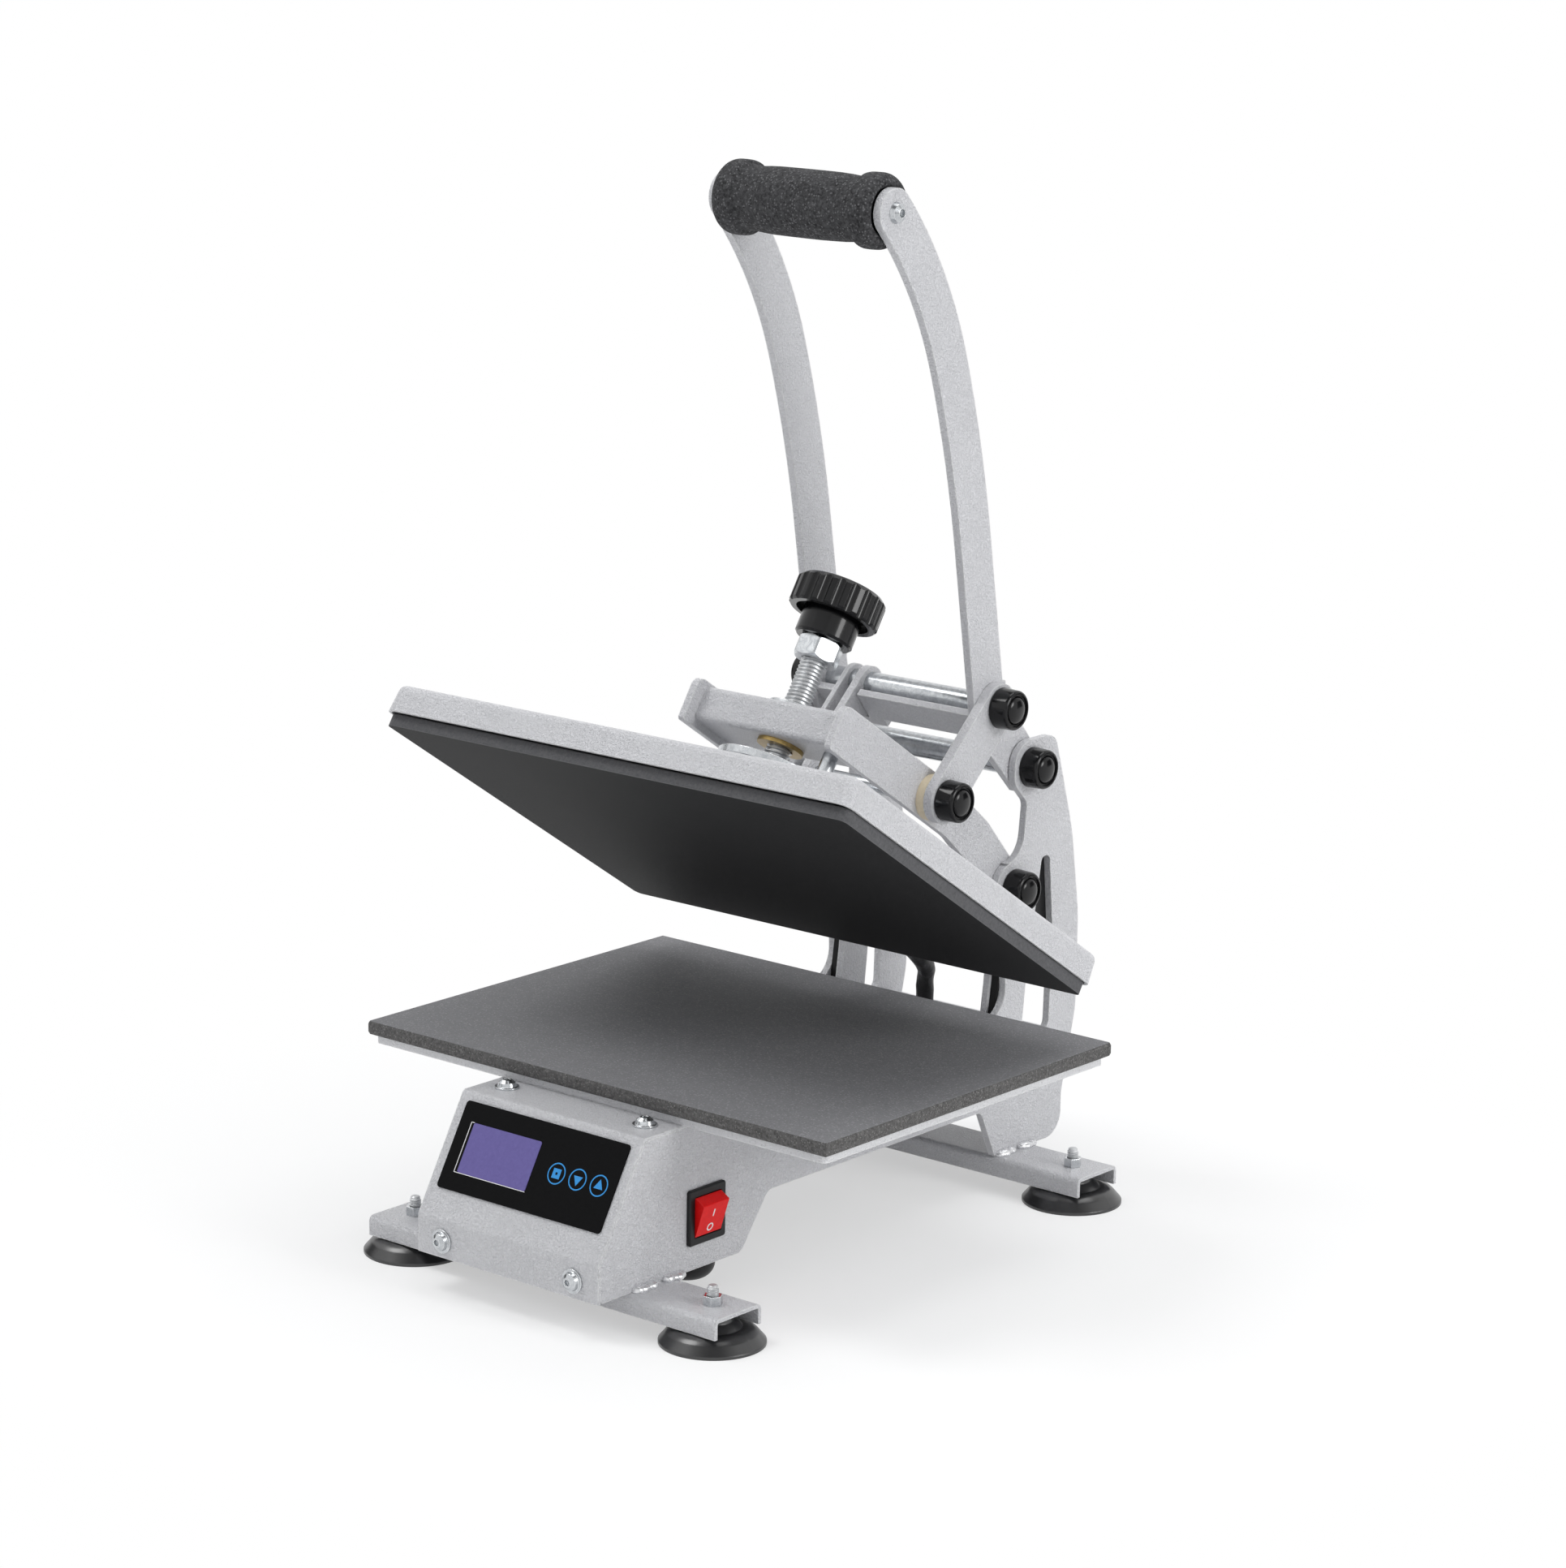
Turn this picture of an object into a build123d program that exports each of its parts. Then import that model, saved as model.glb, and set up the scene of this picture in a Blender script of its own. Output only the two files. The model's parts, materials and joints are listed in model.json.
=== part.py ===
from build123d import *
from math import atan2, cos, degrees, hypot, pi, radians, sin, tan
import os

# Clamshell craft heat press, opened. Millimetres, +X right, +Y back, +Z up.
# The pieces are drawn about the centre of the lower pad, and all of them are
# moved at the end so that the origin is under the middle of the whole press.

# Fits and gaps
fit_gap = 0.05          # radial clearance of a shaft in its bore
side_gap = 0.25         # gap between plates that slide past each other
seat_gap = 0.2          # gap between stacked parts that are only held together

# Lower pad and platen
pad_length = 304.8      # 12 inches
pad_depth = 228.6       # 9 inches
pad_thickness = 7.2
pad_corner = 3.0
platen_inset = 3.0
lower_platen_thickness = 4.5
pad_top = 106.5
platen_top = pad_top - pad_thickness
platen_underside = platen_top - lower_platen_thickness

# Side plates of the frame
frame_half_width = 60.0
plate_thickness = 4.0
side_inner = frame_half_width - plate_thickness
plate_bottom = 19.0
arch_height = 46.5
arch_front = -46.0
arch_rear = 127.3
rear_foot_front = 140.3
upright_rear = 208.6
packing_thickness = 4.7  # black packing between the inner and side plates
packing_inset = 1.5
slot_front = 160.0
slot_waist = 163.3
inner_plate_outer = side_inner - packing_thickness
inner_plate_thickness = 4.0
inner_plate_inner = inner_plate_outer - inner_plate_thickness

# Pivots in the side view, as (y, z)
arm_pivot = (151.0, 163.5)
handle_pivot = (163.2, 227.0)
crank_pin = (134.0, 263.4)
link_pin_closed = (68.2, 179.5)
arm_pivot_boss = 15.0
open_angle = 33.0
pin_radius = 4.0
rod_radius = 6.4

# Control box
sheet = 1.5
box_front = -171.7
box_bottom = 18.7
slope_bottom = 38.4
slope_top_y = -139.3
box_top = platen_underside
box_rear = -70.0
cover_rear = -105.5
panel_width = 108.5
panel_start = 15.0
panel_height = 45.4
panel_thickness = 0.8
window_width = 45.6
window_height = 25.8
window_middle = (-21.8, 37.4)
window_proud = 0.3
board_size = (96.0, 40.0, 1.6)
board_depth = 9.0
post_radius = 2.5
relay_size = (44.0, 34.0, 22.0)

# Screws of the control box
button_head_radius = 4.9
button_head_height = 3.4
washer_radius = 6.2
washer_thickness = 1.0
box_screw_radius = 2.4
box_screw_length = 9.0
front_screw_x = frame_half_width - 16.4
front_screw_z = 27.5
top_screw_x = frame_half_width - 14.2
top_screw_y = -123.0

# Rocker switch
switch_middle = (-94.2, 46.3)
bezel_width = 27.0
bezel_height = 28.5
bezel_thickness = 2.2
housing_width = 23.0
housing_height = 26.0
housing_depth = 22.0
rocker_width = 19.0
rocker_face = 5.2       # from the rocker's pivot to its flat face
rocker_half_face = 8.95
rocker_swing = 10.35
rocker_pivot_depth = 2.2
rocker_tilt = 17.9
rocker_gap = 0.4
trunnion_radius = 1.6
trunnion_length = 0.9

# Power inlet gland under the box
inlet_gland = (frame_half_width - 19.5, -85.0)
inlet_gland_radius = 14.5
inlet_gland_drop = 13.0
inlet_neck = 6.0
inlet_hole = 3.6

# Base channels and feet
channel_half_length = 115.6
channel_depth = 34.0
channel_height = 10.2
channel_wall = 2.0
channel_corner = 3.0
front_channel_y = -133.5
rear_channel_y = 156.0
foot_x = 99.5
foot_radius = 26.3
foot_rim = 1.4
foot_crown = 8.4
foot_crown_radius = 20.3
foot_hub_radius = 10.5
foot_hub_cone = 12.0
foot_hollow_radius = 22.5
foot_hollow_height = 4.6
foot_skin = 2.4
stud_radius = 3.0
stud_top = 29.0
foot_nut_flats = 8.4
foot_nut_height = 4.8

# Rear cross plate and the heater cable
cross_plate_z = 74.0
cross_plate_thickness = 3.0
cross_plate_front = 114.0
cross_plate_rear = 196.0
cable_radius = 5.0
cable_x = 2.0
cable_exit_x = 12.0
cable_exit_y = 118.0
cable_exit_z = 121.0
grommet_radius = 8.2
grommet_lip = 2.0
clip_y = -2.0
clip_wall = 1.6
clip_width = 10.0
clip_tab = 12.0

# Arm, in the closed position
arm_thickness = 4.0
arm_joggle = 5.45
arm_inner = side_inner - side_gap - arm_joggle - arm_thickness
joggle_start = 98.0
joggle_end = 116.0
arm_front = -22.0
arm_bottom = 167.5
arm_top = 192.0
arm_tail_radius = 13.5
crossbar_front = -14.5
crossbar_depth = 34.0
crossbar_bottom = 171.5
crossbar_top = 190.3
crossbar_wall = 3.0
spindle_y = crossbar_front + crossbar_depth / 2
nylon_radius = 12.0
brass_radius = 12.4
brass_thickness = 2.2
boss_radius = 12.0
boss_collar = 1.6

# Upper heating platen, in the closed position
closed_gap = 0.3
heater_length = 299.6
heater_depth = 229.6
heater_middle_y = 0.5
heater_flange = 6.5
heater_core_inset = 9.0
heater_core_height = 4.5
heater_underside = pad_top + closed_gap
element_radius = 4.0
element_margin = 45.0
element_bend = 30.0
insulation_thickness = 3.0
sensor_from_end = 79.8
sensor_y = 30.0
sensor_radius = 5.0
sensor_tongue_length = 18.0
sensor_tongue_width = 7.0
sensor_tongue_thickness = 1.6
cover_side_margin = 1.7
cover_end_margin = 4.0
cover_length = heater_length + 2 * cover_side_margin
cover_depth = heater_depth + 2 * cover_end_margin
cover_top = 129.0
cover_wall = 1.6
cover_edge = 4.0
cover_corner = 7.0
cover_draft = 4.0
gland_ring = 7.6
gland_neck = 6.5
gland_boot = 7.2
gland_lip = 2.4
gland_depth = 5.0
gland_reach = 9.0
flange_plate = 76.0
flange_plate_thickness = 4.0
flange_plate_corner = 8.0
flange_neck_radius = 17.0
flange_disc_radius = 29.0
flange_disc_top = 159.0
flange_disc_thickness = 4.0
flange_screw_offset = 29.0
flange_screw_radius = 3.0
flange_head_radius = 5.0
flange_head_height = 3.6
guide_pin_radius = 4.0
guide_pin_x = frame_half_width - 27.0

# Spindle and knob, in the closed position
spindle_radius = 7.0
spindle_bottom = 141.0
thrust_nut_height = 4.0
lock_nut_flats = 22.0
lock_nut_bottom = 218.5
lock_nut_height = 11.5
knob_hub_radius = 15.5
knob_hub_height = 13.5
knob_radius = 24.1
knob_height = 16.5
knob_rim = 4.5
knob_recess = 4.5
knob_flutes = 20
knob_flute_radius = 2.8
knob_flute_depth = 1.3
knob_bore_depth = 16.0

# Handle
handle_thickness = 4.5
handle_side_gap = 0.6
handle_outer = side_inner - handle_side_gap
handle_inner = handle_outer - handle_thickness
handle_half = 12.3
handle_start = (133.0, 258.0)
handle_lean = 9.5
handle_straight = 92.0
handle_bend_radius = 650.0
handle_bend = 8.5
handle_top_radius = 220.0
handle_top_bend = 25.0
crank_front_offset = 18.0
crank_rear_offset = 9.0
crank_end_radius = 13.0
brace_start = (119.9, 260.0)
brace_width = 18.0
brace_thickness = 4.0
brace_gap = 1.5
brace_bridge = 5.0
grip_tube_radius = 9.0
grip_tube_bore = 6.5
grip_radius = 17.4
grip_collar_radius = 19.2
grip_collar_width = 13.5
grip_round = 5.2
grip_screw_radius = 3.0
grip_head_radius = 5.4
grip_head_height = 4.0
grip_screw_length = 16.0
grip_plug_depth = 20.0

# Links and caps
link_inner = handle_outer + side_gap
link_thickness = 5.5
link_outer = link_inner + link_thickness
link_half_width = 12.5
middle_link_half_width = 9.3
middle_link_spans = ((-38.0, -35.2), (-29.0, -24.6))
cap_radius = 10.8
cap_length = 12.0
cap_bore_depth = 5.0
cap_round = 1.8
cap_lip = 1.2
cap_taper = 0.4
cap_groove = 0.8
cap_dome_radius = 6.8


# Small helpers
def outline(corners):
    """Closed face through (y, z, radius) corners, each rounded by its radius."""
    count = len(corners)
    cuts = []
    for index in range(count):
        y, z, radius = corners[index]
        back = corners[index - 1]
        ahead = corners[(index + 1) % count]
        if radius == 0:
            cuts.append(((y, z), None, (y, z)))
            continue
        to_back = (Vector(back[0], back[1]) - Vector(y, z)).normalized()
        to_ahead = (Vector(ahead[0], ahead[1]) - Vector(y, z)).normalized()
        half = radians(to_back.get_angle(to_ahead)) / 2
        reach = radius / tan(half)
        bisector = (to_back + to_ahead).normalized()
        middle = Vector(y, z) + bisector * (radius / sin(half) - radius)
        cuts.append((Vector(y, z) + to_back * reach, middle, Vector(y, z) + to_ahead * reach))
    edges = []
    for index in range(count):
        start, middle, end = cuts[index]
        if middle is not None:
            edges.append(ThreePointArc(start, middle, end))
        edges.append(Line(end, cuts[(index + 1) % count][0]))
    return make_face(Wire(edges))


def side_slab(face, low_x, high_x):
    """Extrude a side-view face between two X values."""
    return extrude(Plane.YZ.offset(low_x) * face, amount=high_x - low_x)


def both_sides(shape):
    return [shape, mirror(shape, about=Plane.YZ)]


def x_rod(point, low_x, high_x, radius):
    return side_slab(Pos(point[0], point[1]) * Circle(radius), low_x, high_x)


def x_tube(point, low_x, high_x, radius, bore):
    ring = Circle(radius) - Circle(bore)
    return side_slab(Pos(point[0], point[1]) * ring, low_x, high_x)


def z_rod(x, y, low_z, high_z, radius):
    return Pos(x, y, low_z) * extrude(Circle(radius), amount=high_z - low_z)


def z_box(x_span, y_span, z_span):
    sizes = [span[1] - span[0] for span in (x_span, y_span, z_span)]
    place = Pos(x_span[0], y_span[0], z_span[0])
    return place * Box(*sizes, align=(Align.MIN, Align.MIN, Align.MIN))


def bar_between(start, end, half_width):
    """Round-ended bar in the side view with its centres at two pins."""
    length = hypot(end[0] - start[0], end[1] - start[1])
    turn = degrees(atan2(end[1] - start[1], end[0] - start[0]))
    middle = Pos((start[0] + end[0]) / 2, (start[1] + end[1]) / 2)
    return middle * Rot(0, 0, turn) * SlotCenterToCenter(length, 2 * half_width)


def lathe(corners):
    """Solid of revolution about Z through (radius, height, rounding) corners."""
    return revolve(Plane.XZ * outline(corners), axis=Axis.Z)


def bore(point, radius):
    return Pos(point[0], point[1]) * Circle(radius)


def turned(point, about, angle):
    """Turn a side-view point about another, positive from +Y towards +Z."""
    y, z = point[0] - about[0], point[1] - about[1]
    c, s = cos(radians(angle)), sin(radians(angle))
    return (about[0] + c * y - s * z, about[1] + s * y + c * z)


opened = (Pos(0, *arm_pivot) * Rot(-open_angle, 0, 0) * Pos(0, -arm_pivot[0], -arm_pivot[1]))
link_pin = turned(link_pin_closed, arm_pivot, -open_angle)
pin_bore = pin_radius + fit_gap
parts = {}


def keep(name, pieces):
    """Store one node, as a compound when it holds several solids."""
    solids = []
    for piece in pieces if isinstance(pieces, (list, tuple)) else [pieces]:
        solids.extend(piece.solids())
    parts[name] = solids[0] if len(solids) == 1 else Compound(children=solids)


# Lower pad and platen
def lower_bed():
    pad = extrude(RectangleRounded(pad_length, pad_depth, pad_corner), amount=pad_thickness)
    keep("silicone_pad", Pos(0, 0, platen_top) * pad)
    length = pad_length - 2 * platen_inset
    depth = pad_depth - 2 * platen_inset
    plate = extrude(RectangleRounded(length, depth, pad_corner), amount=lower_platen_thickness)
    keep("lower_platen", Pos(0, 0, platen_underside) * plate)


# Frame: two side plates with their uprights, and the inner plates beside them
def frame_plates():
    front = box_front + sheet
    head_y, head_z = handle_pivot
    boss_left = arm_pivot[0] - arm_pivot_boss
    boss_top = arm_pivot[1] + arm_pivot_boss - 0.5
    ledge = box_top - sheet
    corners = [
        (front, plate_bottom, 2.0),
        (*slope_inner_low, 3.0),
        (*slope_inner_high, 3.0),
        (cover_rear + 0.3, ledge, 0),
        (cover_rear + 0.3, platen_underside, 0),
        (146.5, platen_underside, 16.0),
        (145.0, 125.0, 60.0),
        (boss_left, 148.0, 14.0),
        (boss_left, boss_top, 13.0),
        (157.5, boss_top, 15.0),
        (160.5, 208.5, 6.0),
        (head_y - 14.0, 220.0, 8.0),
        (head_y - 14.0, head_z + 14.5, 13.0),
        (head_y + 20.8, head_z + 14.5, 9.0),
        (201.0, 187.0, 120.0),
        (upright_rear, 140.0, 90.0),
        (upright_rear, 88.0, 40.0),
        (197.8, 42.0, 20.0),
        (197.8, plate_bottom, 13.0),
        (rear_foot_front, plate_bottom, 1.0),
        (arch_rear, arch_height, 5.0),
        (arch_front, arch_height, 7.0),
        (arch_front - 20.5, plate_bottom, 7.0),
    ]
    slot = outline([
        (174.8, 176.5, 3.3),
        (181.8, 176.5, 3.3),
        (186.1, 132.0, 150.0),
        (184.5, 79.0, 7.0),
        (slot_front, 79.0, 7.0),
        (slot_waist, 108.0, 80.0),
    ])
    face = outline(corners) - slot
    face = face - bore(arm_pivot, pin_bore) - bore(handle_pivot, pin_bore)
    right = side_slab(face, side_inner, frame_half_width)
    left = mirror(right, about=Plane.YZ)
    middle_y, middle_z = switch_middle
    half_y = housing_width / 2 + seat_gap
    half_z = housing_height / 2 + seat_gap
    opening = z_box(
        (side_inner - 1, frame_half_width + 1),
        (middle_y - half_y, middle_y + half_y),
        (middle_z - half_z, middle_z + half_z),
    )
    keep("side_plate_right", right - opening)
    keep("side_plate_left", left)

    foot = cross_plate_z + cross_plate_thickness
    inner = outline([
        (141.0, foot, 0),
        (141.0, 96.0, 30.0),
        (145.0, 125.0, 60.0),
        (boss_left + 1, 149.0, 14.0),
        (boss_left + 1, boss_top - 1, 13.0),
        (arm_pivot[0] + 14.0, boss_top - 1, 13.0),
        (arm_pivot[0] + 14.0, 148.0, 14.0),
        (slot_waist, 108.0, 80.0),
        (slot_front, foot, 0),
    ]) - bore(arm_pivot, pin_bore)
    keep("inner_plates", both_sides(side_slab(inner, inner_plate_inner, inner_plate_outer)))

    packing = outline([
        (141.0 + packing_inset, foot, 0),
        (141.0 + packing_inset, 96.0, 30.0),
        (145.0 + packing_inset, 125.0, 60.0),
        (141.0 + packing_inset, 143.0, 5.0),
        (arm_pivot[0] + 4.0, 143.0, 8.0),
        (arm_pivot[0] + 17.0, arm_pivot[1] - 4.0, 6.0),
        (arm_pivot[0] + 19.0, 181.0, 3.0),
        (arm_pivot[0] + 31.0, 181.0, 5.0),
        (arm_pivot[0] + 36.5, 140.0, 20.0),
        (arm_pivot[0] + 30.0, 128.0, 12.0),
        (slot_waist - packing_inset, 108.0, 40.0),
        (slot_front - packing_inset, foot, 0),
    ])
    keep("packing_plates", both_sides(side_slab(packing, inner_plate_outer, side_inner)))

    cross = z_box(
        (-side_inner, side_inner),
        (cross_plate_front, cross_plate_rear),
        (cross_plate_z, foot),
    )
    lip = z_box(
        (-side_inner, side_inner),
        (cross_plate_rear - cross_plate_thickness, cross_plate_rear),
        (cross_plate_z - 26.0, cross_plate_z),
    )
    hole = z_rod(cable_x, cable_route[3][1], cross_plate_z - 1, foot + 1,
                 grommet_radius - grommet_lip + fit_gap)
    keep("rear_cross_plate", cross + lip - hole)


# Base channels, suction feet, studs and nuts
def channel(middle_y):
    half = channel_depth / 2
    top = plate_bottom
    low = plate_bottom - channel_height
    inner_corner = channel_corner - channel_wall
    outer = outline([
        (middle_y - half, low, 0),
        (middle_y - half, top, channel_corner),
        (middle_y + half, top, channel_corner),
        (middle_y + half, low, 0),
    ])
    hollow = outline([
        (middle_y - half + channel_wall, low - 1, 0),
        (middle_y - half + channel_wall, top - channel_wall, inner_corner),
        (middle_y + half - channel_wall, top - channel_wall, inner_corner),
        (middle_y + half - channel_wall, low - 1, 0),
    ])
    body = side_slab(outer - hollow, -channel_half_length, channel_half_length)
    for x in (-foot_x, foot_x):
        body = body - z_rod(x, middle_y, low, top + 1, stud_radius + fit_gap)
    return body


def base():
    keep("front_channel", channel(front_channel_y))
    keep("rear_channel", channel(rear_channel_y))
    web = plate_bottom - channel_wall
    neck = stud_radius + fit_gap
    foot = lathe([
        (neck, foot_hollow_height + foot_skin, 0),
        (neck, web, 0),
        (foot_hub_radius - 0.8, web, 0),
        (foot_hub_radius, foot_hub_cone, 0),
        (foot_hub_radius + 4.2, foot_crown + 0.1, 0),
        (foot_crown_radius, foot_crown - 0.1, 8.0),
        (foot_radius, foot_rim, 0),
        (foot_radius, 0, 0),
        (foot_hollow_radius, 0, 0),
        (foot_hollow_radius - 7.0, foot_hollow_height - 0.8, 0),
    ])
    stud = z_rod(0, 0, foot_hollow_height + 3.0, stud_top, stud_radius)
    stud = chamfer(stud.edges().group_by(Axis.Z)[-1], 0.6)
    nut_bore = stud_radius + fit_gap
    nut_face = RegularPolygon(foot_nut_flats / 2, 6, major_radius=False) - Circle(nut_bore)
    nut = Pos(0, 0, plate_bottom) * extrude(nut_face, amount=foot_nut_height)
    places = []
    for y in (front_channel_y, rear_channel_y):
        for x in (-foot_x, foot_x):
            places.append(Pos(x, y, 0))
    keep("suction_feet", [place * foot for place in places])
    keep("foot_studs", [place * stud for place in places])
    keep("foot_nuts", [place * nut for place in places])


# Control box: folded front cover, folded tray behind it, panel and electronics
slope_length = hypot(slope_top_y - box_front, box_top - slope_bottom)
slope_angle = degrees(atan2(box_top - slope_bottom, slope_top_y - box_front))
on_slope = Pos(0, box_front, slope_bottom) * Rot(slope_angle, 0, 0)
slope_inner_low = (box_front + sheet, slope_bottom - sheet * tan(radians(90 - slope_angle) / 2))
slope_inner_high = (slope_top_y + sheet * tan(radians(slope_angle) / 2), box_top - sheet)


def control_box():
    outer = [
        (box_front, box_bottom, 0),
        (box_front, slope_bottom, 2.5),
        (slope_top_y, box_top, 2.5),
        (cover_rear, box_top, 0),
    ]
    inner = [
        (cover_rear, box_top - sheet, 0),
        (*slope_inner_high, 1.2),
        (*slope_inner_low, 1.2),
        (box_front + sheet, box_bottom, 0),
    ]
    cover = side_slab(outline(outer + inner), -frame_half_width, frame_half_width)
    window = on_slope * Pos(window_middle[0], window_middle[1], 0)
    opening = window * Box(window_width - 4, window_height - 4, 4 * sheet)
    cover = cover - opening
    panel_middle = panel_start + panel_height / 2
    board_top = board_size[2] / 2 - board_depth
    for x in (-board_size[0] / 2 + post_radius, board_size[0] / 2 - post_radius):
        for y in (-board_size[1] / 2 + post_radius, board_size[1] / 2 - post_radius):
            post = z_rod(x, panel_middle + y, board_top, -sheet / 2, post_radius)
            cover = cover + on_slope * post
    for sign in (-1, 1):
        hole = Pos(sign * front_screw_x, box_front, front_screw_z) * Rot(90, 0, 0)
        cover = cover - hole * Cylinder(box_screw_radius + fit_gap, 4 * sheet)
        cover = cover - z_rod(sign * top_screw_x, top_screw_y, box_top - 2 * sheet, box_top + 1,
                              box_screw_radius + fit_gap)
    keep("control_cover", cover)

    tray_half = side_inner - seat_gap
    low = plate_bottom + 1.0
    ledge = box_top - sheet - seat_gap
    tray_outer = [
        (box_front + sheet + seat_gap, 35.0, 0),
        (box_front + sheet + seat_gap, low, 2.0),
        (box_rear, low, 2.0),
        (box_rear, ledge, 2.0),
        (-131.0, ledge, 0),
    ]
    tray_inner = [
        (-131.0, ledge - sheet, 0),
        (box_rear - sheet, ledge - sheet, 1.0),
        (box_rear - sheet, low + sheet, 1.0),
        (box_front + 2 * sheet + seat_gap, low + sheet, 1.0),
        (box_front + 2 * sheet + seat_gap, 35.0, 0),
    ]
    tray = side_slab(outline(tray_outer + tray_inner), -tray_half, tray_half)
    for sign in (-1, 1):
        hole = Pos(sign * front_screw_x, box_front, front_screw_z) * Rot(90, 0, 0)
        tray = tray - hole * Cylinder(box_screw_radius + fit_gap, 8 * sheet)
        tray = tray - z_rod(sign * top_screw_x, top_screw_y, ledge - 2 * sheet, ledge + 1,
                            box_screw_radius + fit_gap)
    wall_hole = Pos(cable_x, box_rear, cable_route[-1][2]) * Rot(90, 0, 0)
    tray = tray - wall_hole * Cylinder(grommet_radius - grommet_lip + fit_gap, 6 * sheet)
    tray = tray - z_rod(inlet_gland[0], inlet_gland[1], low - 1, low + 2 * sheet, inlet_neck + fit_gap)
    keep("base_tray", tray)

    panel = extrude(RectangleRounded(panel_width, panel_height, 2.0), amount=panel_thickness)
    panel = on_slope * Pos(0, panel_middle, 0) * panel
    window_hole = extrude(RectangleRounded(window_width, window_height, 1.0), amount=2.0, both=True)
    keep("display_panel", panel - window * window_hole)
    lens_face = RectangleRounded(window_width - 2 * fit_gap, window_height - 2 * fit_gap, 1.0)
    lens = window * extrude(lens_face, amount=panel_thickness + window_proud)
    keep("lcd_window", lens)

    board = Box(*board_size)
    lcd_block = Pos(window_middle[0], window_middle[1] - panel_middle, board_size[2] / 2) * Box(
        window_width - 6, window_height - 6, board_depth - board_size[2] - sheet,
        align=(Align.CENTER, Align.CENTER, Align.MIN))
    chips = [Pos(x, -12, -board_size[2] / 2 - 1.2) * Box(9, 7, 2.4) for x in (5, 22, 36)]
    board = on_slope * Pos(0, panel_middle, -board_depth) * (board + lcd_block + chips)
    keep("controller_board", board)

    floor = low + sheet
    relay = z_box((-46, -46 + relay_size[0]), (-150 + 12, -150 + 12 + relay_size[1]),
                  (floor, floor + relay_size[2]))
    fins = [z_box((-44 + 6 * i, -42 + 6 * i), (-136, -106), (floor + relay_size[2], floor + relay_size[2] + 8))
            for i in range(7)]
    keep("relay_module", relay + fins)


def button_screw(length):
    """Button-head screw with a washer, head up, washer seated on z = 0."""
    top = washer_thickness + button_head_height
    head = lathe([
        (0, washer_thickness, 0),
        (button_head_radius, washer_thickness, 0),
        (button_head_radius * 0.86, top - button_head_height * 0.4, 0),
        (button_head_radius * 0.5, top, 0),
        (0, top, 0),
    ])
    socket_floor = washer_thickness + button_head_height - 2.0
    socket = Pos(0, 0, socket_floor) * extrude(RegularPolygon(1.5, 6, major_radius=False), amount=3)
    shank = z_rod(0, 0, -length, washer_thickness, box_screw_radius)
    washer = extrude(Circle(washer_radius) - Circle(box_screw_radius + fit_gap), amount=washer_thickness)
    return [head + shank - socket, washer]


def box_screws():
    pieces = []
    for sign in (-1, 1):
        for piece in button_screw(box_screw_length):
            front = Pos(sign * front_screw_x, box_front, front_screw_z) * Rot(90, 0, 0)
            top = Pos(sign * top_screw_x, top_screw_y, box_top)
            pieces.append(front * piece)
            pieces.append(top * piece)
    keep("cover_screws", pieces)


# Rocker switch in the right side plate
def rocker_switch():
    face_x = frame_half_width + bezel_thickness
    middle_y, middle_z = switch_middle
    place = Pos(face_x, middle_y, middle_z)
    # The switch is drawn in the XZ plane with the bezel face at x = 0
    bezel = Pos(-bezel_thickness, 0, 0) * Box(
        bezel_thickness, bezel_width, bezel_height, align=(Align.MIN, Align.CENTER, Align.CENTER))
    bezel = fillet(bezel.edges().filter_by(Axis.X), 1.5)
    bezel = chamfer(bezel.faces().sort_by(Axis.X)[-1].edges(), 0.6)
    body = Pos(-bezel_thickness, 0, 0) * Box(
        housing_depth, housing_width, housing_height, align=(Align.MAX, Align.CENTER, Align.CENTER))
    cavity_width = rocker_width + 2 * rocker_gap
    swing = Pos(-rocker_pivot_depth, 0, 0) * Rot(90, 0, 0) * Cylinder(
        rocker_swing + rocker_gap, cavity_width)
    trunnion = Pos(-rocker_pivot_depth, 0, 0) * Rot(90, 0, 0)
    length = cavity_width + 2 * trunnion_length
    bearing = trunnion * Cylinder(trunnion_radius + fit_gap, length + 2 * fit_gap)
    keep("switch_housing", place * (bezel + body - swing - bearing))

    heel = rocker_swing - 0.05
    root = rocker_swing * 0.55
    crown = outline([
        (rocker_face, -rocker_half_face, 0.5),
        (rocker_face, rocker_half_face, 0.5),
        (-rocker_face * 0.2, heel, 0),
        (-rocker_face, root, 0),
        (-rocker_face, -root, 0),
        (-rocker_face * 0.2, -heel, 0),
    ]) & Circle(rocker_swing)
    solid = extrude(Plane.XZ * crown, amount=rocker_width / 2, both=True)
    solid = solid + Rot(90, 0, 0) * Cylinder(trunnion_radius, length)
    solid = Rot(0, rocker_tilt, 0) * solid
    keep("switch_rocker", place * Pos(-rocker_pivot_depth, 0, 0) * solid)


# Heater cable from the control box to the upper platen, with what holds it
cable_exit = turned((cable_exit_y, cable_exit_z), arm_pivot, -open_angle)
cable_route = [
    (cable_exit_x, cable_exit[0], cable_exit[1]),
    (cable_exit_x, 140.5, cable_exit[1] - (140.5 - cable_exit[0]) * tan(radians(open_angle))),
    (cable_x, 151.0, 101.0),
    (cable_x, 151.0, 53.0),
    (cable_x, 104.0, 52.0),
    (cable_x, 66.0, 82.0),
    (cable_x, box_rear - 6.0, 82.0),
]
cable_bends = [28.0, 30.0, 20.0, 40.0, 40.0]
cable_join = 0.5        # share of the run between the second and third points


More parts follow.
